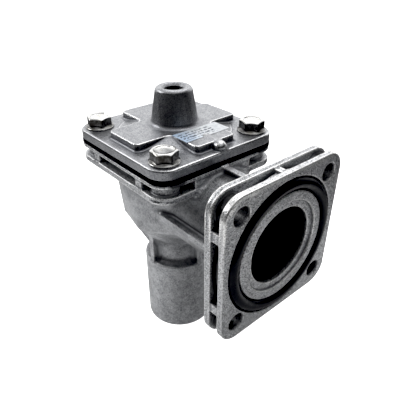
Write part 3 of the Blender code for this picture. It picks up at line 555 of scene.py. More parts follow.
def thread_grid(root, crest, pitch, low, high, back):
    """A closed sleeve whose inner side is a screw thread: its radius falls from root to crest once a turn,
    and the crest follows the angle; the outer side lies hidden in the wall."""
    angle = np.linspace(0, 2 * np.pi, 72, endpoint=False)
    heights = np.arange(low, high, pitch / 8)
    wave = np.abs(((heights[:, None] / pitch - angle / (2 * np.pi)) % 1) - 0.5) * 2
    wave = np.clip(wave * 1.3 - 0.15, 0, 1)
    ends = np.clip(np.minimum(heights - low, high - heights) / pitch, 0, 1)[:, None]
    radius = root + (crest - root) * wave * ends
    height = heights[:, None] + 0 * angle
    wall = np.full((1, len(angle)), back)
    radius = np.concatenate([radius, wall, wall])
    height = np.concatenate([height, 0 * angle[None] + high, 0 * angle[None] + low])
    return np.stack([radius * np.cos(angle), radius * np.sin(angle), height], -1)


def face_inlet(points):
    """Turns points about Z so that their height runs out of the inlet, on the duct's axis."""
    points = np.asarray(points)
    return np.stack([points[..., 2], points[..., 0], points[..., 1] + DUCT], -1)


def coil_path(low, high, radius, turns):
    """Centre line of the spring: a helix whose first and last turns lie flat."""
    way = np.linspace(0, 1, turns * 48 + 1)
    dead = 1 / turns
    lying = (np.minimum(way, dead) + np.clip(way - 1 + dead, 0, dead)) / dead * 1.3
    rising = np.clip((way - dead) / (1 - 2 * dead), 0, 1)
    rising = rising * rising * (3 - 2 * rising) * 0.35 + rising * 0.65
    height = low + lying + rising * (high - low - 2.6)
    angle = 2 * np.pi * turns * way
    return np.stack([radius * np.cos(angle), radius * np.sin(angle), height], -1)


def square_outline(half, corner, count):
    """Points of a rounded square, evenly spaced by angle, found by walking each ray out to the square."""
    angle = np.linspace(0, 2 * np.pi, count, endpoint=False)
    ray = np.stack([np.cos(angle), np.sin(angle)], 1)
    reach = np.full(count, half)
    for _ in range(60):
        reach = reach - rounded_square(ray[:, 0] * reach, ray[:, 1] * reach, half, corner)
    return ray * reach[:, None]


# ---- Finishes ----

def group_node(tree, name, values):
    """A node of a shader group, with its inputs set."""
    node = tree.nodes.new("ShaderNodeGroup")
    node.node_tree = bpy.data.node_groups[name]
    for key, value in values.items():
        node.inputs[key].default_value = value
    return node


def noise(tree, scale, detail, roughness, distortion=0.0, stretch=None):
    """Noise on the piece's own coordinates, in features per metre."""
    coordinates = tree.nodes.new("ShaderNodeTexCoord")
    output = coordinates.outputs["Object"]
    if stretch:
        mapping = tree.nodes.new("ShaderNodeMapping")
        mapping.inputs["Scale"].default_value = stretch
        mapping.inputs["Rotation"].default_value = (0.5, 0.35, 0.8)
        tree.links.new(output, mapping.inputs["Vector"])
        output = mapping.outputs["Vector"]
    node = tree.nodes.new("ShaderNodeTexNoise")
    node.inputs["Scale"].default_value = scale
    node.inputs["Detail"].default_value = detail
    node.inputs["Roughness"].default_value = roughness
    node.inputs["Distortion"].default_value = distortion
    tree.links.new(output, node.inputs["Vector"])
    return node.outputs["Fac"]


def ranged(tree, value, low, high, to_low, to_high):
    """The value between low and high, spread from to_low to to_high."""
    node = tree.nodes.new("ShaderNodeMapRange")
    node.interpolation_type = "SMOOTHSTEP"
    for key, number in (("From Min", low), ("From Max", high)):
        node.inputs[key].default_value = number
    for key, number in (("To Min", to_low), ("To Max", to_high)):
        if isinstance(number, (int, float)):
            node.inputs[key].default_value = number
        else:
            tree.links.new(number, node.inputs[key])
    tree.links.new(value, node.inputs["Value"])
    return node.outputs["Result"]


def maths(tree, operation, a, b=0.0):
    node = tree.nodes.new("ShaderNodeMath")
    node.operation = operation
    for i, value in enumerate((a, b)):
        if isinstance(value, (int, float)):
            node.inputs[i].default_value = value
        else:
            tree.links.new(value, node.inputs[i])
    return node.outputs[0]


def mixed(tree, factor, a, b):
    """Colour a, going over to b by the factor."""
    node = tree.nodes.new("ShaderNodeMix")
    node.data_type = "RGBA"
    for socket, value in ((node.inputs[0], factor), (node.inputs[6], a), (node.inputs[7], b)):
        if isinstance(value, (int, float, tuple)):
            socket.default_value = value
        else:
            tree.links.new(value, socket)
    return node.outputs[2]


def attribute(tree, name):
    node = tree.nodes.new("ShaderNodeAttribute")
    node.attribute_name = name
    return node.outputs["Fac"]


def new_group(name, inputs, outputs):
    tree = bpy.data.node_groups.new(name, "ShaderNodeTree")
    for key, kind, value in inputs:
        socket = tree.interface.new_socket(key, in_out="INPUT", socket_type=kind)
        socket.default_value = value
    for key, kind in outputs:
        tree.interface.new_socket(key, in_out="OUTPUT", socket_type=kind)
    return tree, tree.nodes.new("NodeGroupInput").outputs, tree.nodes.new("NodeGroupOutput").inputs


def build_cast_skin():
    """Blasted casting: specks about a millimetre across over faint broad clouds, with a painted lift of tone,
    brighter on edges as wear and painted highlight, and darker in hollows, bores and corners as painted shade, as a
    colour, a roughness and a height."""
    colour, value = "NodeSocketColor", "NodeSocketFloat"
    tree, given, out = new_group(
        "cast_skin",
        [
            ("Light", colour, (0.5, 0.5, 0.5, 1)),
            ("Dark", colour, (0.3, 0.3, 0.3, 1)),
            ("Sheen_and_wear", colour, (0.8, 0.8, 0.8, 1)),
            ("Inside", colour, (0.02, 0.02, 0.02, 1)),
            ("Rough", value, 0.45),
            ("Speck", value, 0.5),
        ],
        [("Color", colour), ("Roughness", value), ("Height", value)],
    )
    cloud = noise(tree, 170, 3, 0.55)
    blotch = noise(tree, 480, 3, 0.6, 0.3)
    specks = noise(tree, 1900, 3, 0.65, 0.4)
    marks = noise(tree, 2400, 2, 0.5, 0.9, stretch=(1.0, 0.3, 0.7))
    grain = noise(tree, 4200, 2, 0.5)
    wear_sheen_and_crease_mark, painted_shade_mark, grain_and_painted_lift = attribute(tree, "wear_and_sheen"), attribute(tree, "inside"), attribute(tree, "grain_and_painted_lift")
    shade = maths(tree, "ADD", maths(tree, "MULTIPLY", specks, 0.6), maths(tree, "MULTIPLY", marks, 0.4))
    tone = ranged(tree, shade, 0.42, 0.58, -0.6, 0.6)
    share = maths(tree, "MULTIPLY", given["Speck"], maths(tree, "ADD", 0.25, maths(tree, "MULTIPLY", grain_and_painted_lift, 0.75)))
    broad = ranged(tree, maths(tree, "ADD", cloud, blotch), 0.7, 1.3, 0.32, 0.72)
    # Painted light: the inlet flange is lifted lighter, and the globe, duct and tube darker.
    lift = maths(tree, "MULTIPLY", maths(tree, "SUBTRACT", grain_and_painted_lift, 0.6), 0.32)
    tone = maths(tree, "ADD", maths(tree, "ADD", maths(tree, "MULTIPLY", tone, share), broad), lift)
    tone = maths(tree, "MAXIMUM", maths(tree, "MINIMUM", tone, 1.0), 0.0)
    base = mixed(tree, tone, given["Dark"], given["Light"])
    # Edges lighter, partly wear and partly painted highlight; hollows darker, as painted shade.
    edge = maths(tree, "MULTIPLY", ranged(tree, wear_sheen_and_crease_mark, 0.12, 0.7, 0.0, 1.0), ranged(tree, specks, 0.3, 0.6, 0.6, 1.0))
    painted_crease_shade = ranged(tree, wear_sheen_and_crease_mark, -0.5, -0.08, 0.8, 0.0)
    pits = noise(tree, 2700, 1, 0.5, 0.3)
    dark = maths(tree, "MULTIPLY", ranged(tree, pits, 0.60, 0.68, 0.0, 0.85), grain_and_painted_lift)
    bright = maths(tree, "MULTIPLY", ranged(tree, pits, 0.33, 0.41, 0.7, 0.0), grain_and_painted_lift)
    base = mixed(tree, bright, base, given["Sheen_and_wear"])
    base = mixed(tree, edge, base, given["Sheen_and_wear"])
    base = mixed(tree, dark, base, given["Inside"])
    base = mixed(tree, painted_crease_shade, base, given["Dark"])
    # Painted shade: marked places go over to the near-black tone.
    base = mixed(tree, painted_shade_mark, base, given["Inside"])
    tree.links.new(base, out["Color"])
    rough = maths(tree, "ADD", given["Rough"], maths(tree, "MULTIPLY", maths(tree, "SUBTRACT", specks, 0.5), 0.5))
    rough = maths(tree, "SUBTRACT", rough, maths(tree, "MULTIPLY", edge, 0.2))
    tree.links.new(rough, out["Roughness"])
    height = maths(tree, "ADD", maths(tree, "MULTIPLY", shade, 0.75), maths(tree, "MULTIPLY", grain, 0.25))
    tree.links.new(height, out["Height"])


def build_dull_rubber():
    """Moulded rubber: slight bloom and a fine tooth, as a colour, a roughness and a height."""
    colour, value = "NodeSocketColor", "NodeSocketFloat"
    tree, given, out = new_group(
        "rubber_skin",
        [("Base", colour, (0.02, 0.02, 0.02, 1)), ("Bloom", colour, (0.06, 0.06, 0.06, 1)), ("Rough", value, 0.4)],
        [("Color", colour), ("Roughness", value), ("Height", value)],
    )
    cloud = noise(tree, 320, 4, 0.6)
    tooth = noise(tree, 2600, 2, 0.5)
    tree.links.new(mixed(tree, ranged(tree, cloud, 0.5, 0.75, 0.0, 0.6), given["Base"], given["Bloom"]), out["Color"])
    tree.links.new(ranged(tree, cloud, 0.35, 0.7, given["Rough"], maths(tree, "ADD", given["Rough"], 0.15)), out["Roughness"])
    tree.links.new(tooth, out["Height"])


def build_plating():
    """Bright plated steel: fine streaks and faint stains, and painted shade where it is marked, as a colour, a
    roughness and a height.
    """
    colour, value = "NodeSocketColor", "NodeSocketFloat"
    tree, given, out = new_group(
        "plating",
        [
            ("Base", colour, (0.7, 0.7, 0.7, 1)),
            ("Stain", colour, (0.5, 0.48, 0.42, 1)),
            ("Painted_shade", colour, (0.06, 0.055, 0.045, 1)),
            ("Rough", value, 0.22),
        ],
        [("Color", colour), ("Roughness", value), ("Height", value)],
    )
    stain = noise(tree, 420, 4, 0.65, 0.6)
    streak = noise(tree, 1500, 3, 0.6, 0.2, stretch=(1.0, 0.2, 1.0))
    clean = mixed(tree, ranged(tree, stain, 0.48, 0.72, 0.0, 0.75), given["Base"], given["Stain"])
    # Painted shade on the marked flanks and rims, standing for the dark room they mirror.
    bolt_painted_shade = maths(tree, "MULTIPLY", attribute(tree, "bolt_painted_shade"), ranged(tree, stain, 0.3, 0.6, 0.75, 1.0))
    tree.links.new(mixed(tree, bolt_painted_shade, clean, given["Painted_shade"]), out["Color"])
    tree.links.new(maths(tree, "ADD", given["Rough"], maths(tree, "MULTIPLY", streak, 0.18)), out["Roughness"])
    tree.links.new(maths(tree, "ADD", maths(tree, "MULTIPLY", streak, 0.5), maths(tree, "MULTIPLY", stain, 0.5)), out["Height"])


def finish_material(name, group, values, metallic, bump, distance=0.0002, shine=0.5, bend=1.5):
    """A material of one shader fed by a group, with the group's height as a bump."""
    made = bpy.data.materials.new(name)
    made.use_nodes = True
    tree = made.node_tree
    shader = tree.nodes["Principled BSDF"]
    shader.inputs["Metallic"].default_value = metallic
    shader.inputs["Specular IOR Level"].default_value = shine
    shader.inputs["IOR"].default_value = bend
    node = group_node(tree, group, values)
    tree.links.new(node.outputs["Color"], shader.inputs["Base Color"])
    tree.links.new(node.outputs["Roughness"], shader.inputs["Roughness"])
    raised = tree.nodes.new("ShaderNodeBump")
    raised.inputs["Strength"].default_value = bump
    raised.inputs["Distance"].default_value = distance
    tree.links.new(node.outputs["Height"], raised.inputs["Height"])
    tree.links.new(raised.outputs["Normal"], shader.inputs["Normal"])
    return made


def rgba(colour):
    return (colour[0], colour[1], colour[2], 1.0)


def foil_material(size):
    """Silver foil with a blue panel at one end and plain printed bars, drawn on the label's own place."""
    made = bpy.data.materials.new("label_foil")
    made.use_nodes = True
    tree = made.node_tree
    shader = tree.nodes["Principled BSDF"]
    shader.inputs["Metallic"].default_value = 0.25
    shader.inputs["Roughness"].default_value = 0.5
    coordinates = tree.nodes.new("ShaderNodeTexCoord")
    split = tree.nodes.new("ShaderNodeSeparateXYZ")
    tree.links.new(coordinates.outputs["Object"], split.inputs[0])
    along = split.outputs["Y"]
    across = maths(tree, "SUBTRACT", split.outputs["X"], AXIS_X * 0.001)
    panel = ranged(tree, along, -0.0105, 0.0010, 1.0, 0.0)
    crease = noise(tree, 500, 3, 0.5)
    silver = mixed(tree, ranged(tree, crease, 0.35, 0.7, 0.0, 1.0), rgba(size.foil), (0.77, 0.79, 0.81, 1))
    base = mixed(tree, panel, silver, rgba(size.foil_panel))
    tree.links.new(base, shader.inputs["Base Color"])
    bars = maths(tree, "PINGPONG", across, 0.0011)
    bars = ranged(tree, bars, 0.00040, 0.00050, 0.0, 1.0)
    broken = noise(tree, 900, 0, 0.5)
    bars = maths(tree, "MULTIPLY", bars, ranged(tree, broken, 0.45, 0.48, 0.0, 1.0))
    inside = maths(tree, "MULTIPLY", ranged(tree, across, 0.0140, 0.0141, 0, 1), ranged(tree, across, 0.0206, 0.0207, 1, 0))
    inside = maths(tree, "MULTIPLY", inside, ranged(tree, along, -0.0100, -0.0099, 0, 1))
    inside = maths(tree, "MULTIPLY", inside, ranged(tree, along, 0.0072, 0.0073, 1, 0))
    printed = maths(tree, "MULTIPLY", bars, inside)
    tree.links.new(mixed(tree, maths(tree, "MULTIPLY", printed, 0.9), base, (0.04, 0.055, 0.09, 1)), shader.inputs["Base Color"])
    raised = tree.nodes.new("ShaderNodeBump")
    raised.inputs["Strength"].default_value = 0.25
    raised.inputs["Distance"].default_value = 0.0002
    tree.links.new(crease, raised.inputs["Height"])
    tree.links.new(raised.outputs["Normal"], shader.inputs["Normal"])
    return made


# ---- Sizes and colours that a user would change ----

def colour_property(name, description, default):
    return FloatVectorProperty(name=name, description=description, default=default, subtype="COLOR", size=3, min=0, max=1)


class ValveLooks(bpy.types.PropertyGroup):
    """Colours and finishes of the valve."""
    body_light: colour_property("Body light", "Lighter tone of the body casting", (0.68, 0.69, 0.71))
    body_dark: colour_property("Body dark", "Darker tone of the body casting", (0.20, 0.205, 0.215))
    cover_light: colour_property("Cover light", "Lighter tone of the cover casting", (0.38, 0.385, 0.40))
    cover_dark: colour_property("Cover dark", "Darker tone of the cover casting", (0.18, 0.185, 0.20))
    # Edge tones: lighter for wear and painted highlight.
    wear_and_sheen: colour_property("Worn edges", "Tone of the body's worn edges", (0.95, 0.95, 0.94))
    cover_sheen_and_wear: colour_property("Cover edges", "Tone of the cover's worn edges", (0.72, 0.725, 0.735))
    cast_rough: FloatProperty(name="Cast roughness", description="Roughness of the castings", default=0.42, min=0, max=1)
    plating: colour_property("Plating", "Colour of the plated bolts", (0.62, 0.62, 0.615))
    rubber: colour_property("Rubber", "Colour of the rubber ring", (0.004, 0.005, 0.008))
    foil: colour_property("Foil", "Colour of the label's foil", (0.61, 0.64, 0.68))
    foil_panel: colour_property("Foil panel", "Colour of the panel at the label's end", (0.50, 0.62, 0.78))


class ValveSizes(bpy.types.PropertyGroup):
    """Fineness and small sizes of the surface."""
    cell: FloatProperty(name="Cell", description="Grid step of the castings' surface in millimetres", default=0.5, min=0.3, max=2)
    body_faces: IntProperty(name="Body triangles", description="Most triangles of the body casting", default=190000, min=1000)
    cover_faces: IntProperty(name="Cover triangles", description="Most triangles of the cover casting", default=150000, min=1000)
    ring_section: FloatProperty(name="Ring section", description="Thickness of the O-ring in millimetres", default=5.3, min=1)
    wire: FloatProperty(name="Spring wire", description="Thickness of the spring's wire in millimetres", default=1.2, min=0.2)


class ValveStudio(bpy.types.PropertyGroup):
    """Lens, light and floor."""
    lens: FloatProperty(name="Lens", description="Focal length on a 36 mm wide sensor", default=38.81, min=1)
    floor: colour_property("Floor", "Colour of the floor", (0.9, 0.9, 0.9))


def looks():
    return bpy.context.scene.valve_looks


def sizes():
    return bpy.context.scene.valve_sizes


# ---- One operator for each piece or group of like pieces ----

class VALVE_OT_finishes(bpy.types.Operator):
    """Builds the shared shader groups and the materials of the valve."""
    bl_idname = "valve.finishes"
    bl_label = "Finishes"

    def execute(self, context):
        look = looks()
        build_cast_skin()
        build_dull_rubber()
        build_plating()
        # Each cast finish has a light tone for edge wear and painted highlight, and a near-black for pits and painted
        # shade.
        cast = {"Light": rgba(look.body_light), "Dark": rgba(look.body_dark), "Sheen_and_wear": rgba(look.wear_and_sheen)}
        cast.update({"Inside": (0.004, 0.004, 0.004, 1), "Rough": look.cast_rough + 0.04, "Speck": 1.15})
        finish_material("body_cast", "cast_skin", cast, 0.75, 0.5)
        cast = {"Light": rgba(look.cover_light), "Dark": rgba(look.cover_dark), "Sheen_and_wear": rgba(look.cover_sheen_and_wear)}
        cast.update({"Inside": (0.004, 0.004, 0.004, 1), "Rough": look.cast_rough - 0.04, "Speck": 0.85})
        finish_material("cover_cast", "cast_skin", cast, 0.95, 0.45)
        # The bolts' near-black tone is painted shade.
        plate = {"Base": rgba(look.plating), "Stain": (0.5, 0.48, 0.42, 1), "Rough": 0.12, "Painted_shade": (0.02, 0.018, 0.015, 1)}
        finish_material("bolt_plating", "plating", plate, 1.0, 0.12)
        plate = {"Base": (0.62, 0.62, 0.62, 1), "Stain": (0.45, 0.45, 0.45, 1), "Rough": 0.2}
        finish_material("steel_look", "plating", plate, 1.0, 0.08)
        rubber = {"Base": rgba(look.rubber), "Bloom": (0.008, 0.009, 0.012, 1), "Rough": 0.26}
        finish_material("ring_look", "rubber_skin", rubber, 0.0, 0.08, shine=0.2)
        rubber = {"Base": (0.005, 0.005, 0.006, 1), "Bloom": (0.010, 0.010, 0.012, 1), "Rough": 0.6}
        finish_material("diaphragm_look", "rubber_skin", rubber, 0.0, 0.2, shine=0.3, bend=1.2)
        foil_material(look)
        return {"FINISHED"}


class VALVE_OT_body(bpy.types.Operator):
    """Makes the body casting with its fillets, in place of the plain solid."""
    bl_idname = "valve.body"
    bl_label = "Body casting"

    def execute(self, context):
        step = sizes().cell
        low, high = (-34, -34, -110), (68.5, 34, 4.5)
        mesh = cast_mesh("body_casting", body_casting, low, high, step, sizes().body_faces, body_shade, body_grain_and_painted_lift, body_rims)
        look = bpy.data.materials["body_cast"]
        nodes = ["valve_body", "inlet_duct", "outlet_tube"]
        add_piece("body_casting", mesh, look, "valve", nodes)
        return {"FINISHED"}


class VALVE_OT_cover(bpy.types.Operator):
    """Makes the cover casting with its pad, boss and stub, in place of the plain solid."""
    bl_idname = "valve.cover"
    bl_label = "Cover casting"

    def execute(self, context):
        step = sizes().cell * 0.8
        low, high = (-34, -34, -5.6), (34, 34, 20.6)
        mesh = cast_mesh("cover_casting", cover_casting, low, high, step, sizes().cover_faces, cover_shade, cover_grain, cover_rims)
        add_piece("cover_casting", mesh, bpy.data.materials["cover_cast"], "valve", ["cover"])
        return {"FINISHED"}


class VALVE_OT_bolts(bpy.types.Operator):
    """Makes the four cover bolts, each turned as the photograph shows it."""
    bl_idname = "valve.bolts"
    bl_label = "Cover bolts"

    def execute(self, context):
        look = bpy.data.materials["bolt_plating"]
        spots = ((1, -1, -36), (1, 1, -48), (-1, 1, -20), (-1, -1, 12))
        for i, (x, y, turn) in enumerate(spots):
            grid = bolt_grid(-math.radians(turn)) + (x * BOLT_AT, y * BOLT_AT, 0.0)
            mesh = sheet_mesh(f"bolt_{i + 1}", grid)
            flat = np.empty(len(mesh.vertices) * 3)
            mesh.vertices.foreach_get("co", flat)
            points = flat.reshape(-1, 3) * 1000 - (AXIS_X + x * BOLT_AT, y * BOLT_AT, SEAT_PLANE)
            height, reach = points[:, 2], np.hypot(points[:, 0], points[:, 1])
            flat = hex_radius(np.arctan2(points[:, 1], points[:, 0]) - math.radians(turn), 10.0)
            shoulder = 5.3 - np.maximum(flat - 4.75, 0) * 0.47
            flank = within(np.abs(reach - flat), 0.05, 0.05) * within(-height, -1.1, 0.2) * within(height, shoulder - 0.1, 0.2)
            collar = within(-height, -0.6, 0.15) * within(height, 2.1, 0.2) * within(reach, 6.42, 0.15)
            # Painted shade on the hex flanks and the flange's rim.
            put_attribute(mesh, "bolt_painted_shade", np.maximum(0.95 * flank, 0.85 * collar) * (reach > 4.2))
            add_piece(f"bolt_{i + 1}", mesh, look, "valve", [f"cover_bolt_{i + 1}"])
        return {"FINISHED"}


class VALVE_OT_ring(bpy.types.Operator):
    """Makes the O-ring of the inlet."""
    bl_idname = "valve.ring"
    bl_label = "Inlet O-ring"

    def execute(self, context):
        half = sizes().ring_section / 2
        angle = np.linspace(0, 2 * np.pi, 28, endpoint=False)
        profile = np.stack([26.85 + half * np.cos(angle), half * np.sin(angle)], 1)
        grid = turned_grid(profile, 160) + (0, 0, FACE_X + 1.0 - half)
        mesh = sheet_mesh("o_ring", face_inlet(grid), round_rows=True)
        add_piece("o_ring", mesh, bpy.data.materials["ring_look"], "valve", ["inlet_o_ring"])
        return {"FINISHED"}


class VALVE_OT_diaphragm(bpy.types.Operator):
    """Makes the diaphragm's square rim and its moving web."""
    bl_idname = "valve.diaphragm"
    bl_label = "Diaphragm"

    def execute(self, context):
        look = bpy.data.materials["diaphragm_look"]
        outline = square_outline(33.1, 8.5, 240)
        outline *= (33.1 / np.abs(outline).max())
        inner = np.linalg.norm(outline, axis=1, keepdims=True)
        inner = outline / inner * 25.0
        rows = []
        for share, height in ((0, -6.6), (0.97, -6.6), (0.995, -6.45), (1, -6.1), (1, -5.1), (0.995, -4.75), (0.97, -4.6), (0, -4.6)):
            flat = inner + (outline - inner) * share
            rows.append(np.concatenate([flat, np.full((len(flat), 1), height)], 1))
        mesh = sheet_mesh("diaphragm_rim", np.stack(rows), round_rows=True)
        add_piece("diaphragm_rim", mesh, look, "valve", ["diaphragm"])
        way = np.linspace(0, 1, 15)[:, None]
        ease = way * way * (3 - 2 * way)
        top = np.concatenate([25.6 - 9.6 * way, -4.8 - 5.2 * ease], 1)
        low = np.concatenate([26.2 - 9.2 * way, -6.4 - 5.2 * ease], 1)
        profile = np.concatenate([top, [[2.8, -10.0]], [[2.8, -11.6]], low[::-1]])
        mesh = sheet_mesh("diaphragm_web", turned_grid(profile, 96), round_rows=True)
        web = add_piece("diaphragm_web", mesh, look, "valve", ["diaphragm"])
        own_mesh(web)
        return {"FINISHED"}


class VALVE_OT_label(bpy.types.Operator):
    """Makes the foil label on the cover's pad."""
    bl_idname = "valve.label"
    bl_label = "Label"

    def execute(self, context):
        across, along = np.linspace(12.2, 22.0, 12), np.linspace(-11.2, 13.2, 28)
        x, y = np.meshgrid(across, along, indexing="ij")
        lift = 0.05 * np.sin(x * 0.9 + y * 0.35) ** 2
        top = np.stack([x, y, 3.36 + lift], -1)
        low = np.stack([x, y, 3.28 + lift], -1)
        rim = [top[0], top[-1], top[1:-1, 0], top[1:-1, -1]]
        rows, columns = x.shape
        number = np.arange(rows * columns).reshape(rows, columns)
        quad = np.stack([number[:-1, :-1], number[1:, :-1], number[1:, 1:], number[:-1, 1:]], -1).reshape(-1, 4)
        edge = np.concatenate([number[:-1, 0], number[-1, :-1], number[:0:-1, -1], number[0, :0:-1]])
        beside, shift = np.roll(edge, -1), rows * columns
        wall = np.stack([edge + shift, beside + shift, beside, edge], 1)
        faces = np.concatenate([quad, quad[:, ::-1] + shift, wall])
        mesh = fill_mesh("foil_label", np.concatenate([top.reshape(-1, 3), low.reshape(-1, 3)]), faces)
        mesh.set_sharp_from_angle(angle=math.radians(38))
        add_piece("foil_label", mesh, bpy.data.materials["label_foil"], "valve", ["label"])
        return {"FINISHED"}


class VALVE_OT_spring(bpy.types.Operator):
    """Makes the coil spring under the cover."""
    bl_idname = "valve.spring"
    bl_label = "Spring"

    def execute(self, context):
        wire = sizes().wire / 2
        path = coil_path(-8.0 + wire, 5.9 - wire, 6.4 - wire, 6)
        taper = np.full(len(path), wire)
        grid = tube_grid(path, taper, 14)
        caps = [path[:1, None].repeat(14, 1), grid, path[-1:, None].repeat(14, 1)]
        mesh = sheet_mesh("coil_spring", np.concatenate(caps))
        spring = add_piece("coil_spring", mesh, bpy.data.materials["steel_look"], "valve", ["spring"])
        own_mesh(spring)
        return {"FINISHED"}


class VALVE_OT_closing_set(bpy.types.Operator):
    """Makes the plate, disc, washer, screw and nut that lift off the seat."""
    bl_idname = "valve.closing_set"
    bl_label = "Closing set"

    def execute(self, context):
        steel, rubber = bpy.data.materials["steel_look"], bpy.data.materials["diaphragm_look"]
        plate = [(2.8, -9.7), (13.0, -9.7), (13.0, -7.1), (11.6, -7.1), (11.0, -8.3), (2.8, -8.3)]
        mesh = turned_mesh("plate", plate, edge=0.4)
        add_piece("plate", mesh, steel, "closing_set", ["support_plate"])
        disc = [(2.8, -13.7), (14.35, -13.7), (14.8, -13.25), (14.8, -11.9), (2.8, -11.9)]
        mesh = turned_mesh("disc", disc)
        add_piece("disc", mesh, rubber, "closing_set", ["seat_disc"])
        mesh = turned_mesh("washer", [(2.8, -15.2), (9.0, -15.2), (9.0, -14.0), (2.8, -14.0)], edge=0.3)
        add_piece("washer", mesh, steel, "closing_set", ["lower_washer"])
        angle = np.linspace(0, 2 * np.pi, 72, endpoint=False)
        one, flat = np.ones_like(angle), hex_radius(angle + np.pi / 6, 8.0)
        cut = np.maximum(flat - 3.9, 0) * 0.5
        rows = [(2.55 * one, -8.0 * one), (3.9 * one, -8.0 * one), (flat, -8.0 + cut), (flat, -4.0 - cut), (3.9 * one, -4.0 * one), (2.55 * one, -4.0 * one)]
        mesh = sheet_mesh("nut", self.ring(rows, angle), round_rows=True)
        add_piece("nut", mesh, steel, "closing_set", ["lock_nut"])
        flat = hex_radius(angle, 8.0)
        cut = np.maximum(flat - 3.9, 0) * 0.5
        rows = [(0 * one, -19.0 * one), (3.9 * one, -19.0 * one), (flat, -19.0 + cut), (flat, -15.5 * one), (2.5 * one, -15.5 * one), (2.5 * one, -3.6 * one), (2.1 * one, -3.2 * one), (0 * one, -3.2 * one)]
        mesh = sheet_mesh("screw", self.ring(rows, angle))
        add_piece("screw", mesh, steel, "closing_set", ["clamp_screw"])
        return {"FINISHED"}

    def ring(self, rows, angle):
        """Rows of (radius, height) round the axis, as points."""
        radius = np.stack([row[0] for row in rows])
        height = np.stack([row[1] for row in rows])
        return np.stack([radius * np.cos(angle), radius * np.sin(angle), height], -1)


class VALVE_OT_threads(bpy.types.Operator):
    """Makes the threads in the pilot port and in the outlet's socket."""
    bl_idname = "valve.threads"
    bl_label = "Threads"

    def execute(self, context):
        look = bpy.data.materials["cover_cast"]
        mesh = sheet_mesh("port_thread", thread_grid(4.24, 3.85, 0.907, 9.0, 18.4, 4.5), round_rows=True)
        # Painted shade down the pilot port's thread.
        put_attribute(mesh, "inside", np.full(len(mesh.vertices), 0.93))
        add_piece("port_thread", mesh, look, "valve")
        look = bpy.data.materials["body_cast"]
        mesh = sheet_mesh("socket_thread", thread_grid(12.04, 11.4, 1.814, -107.2, -88.0, 12.4), round_rows=True)
        # Painted shade in the outlet socket's thread.
        put_attribute(mesh, "inside", np.full(len(mesh.vertices), 0.8))
        add_piece("socket_thread", mesh, look, "valve")
        return {"FINISHED"}


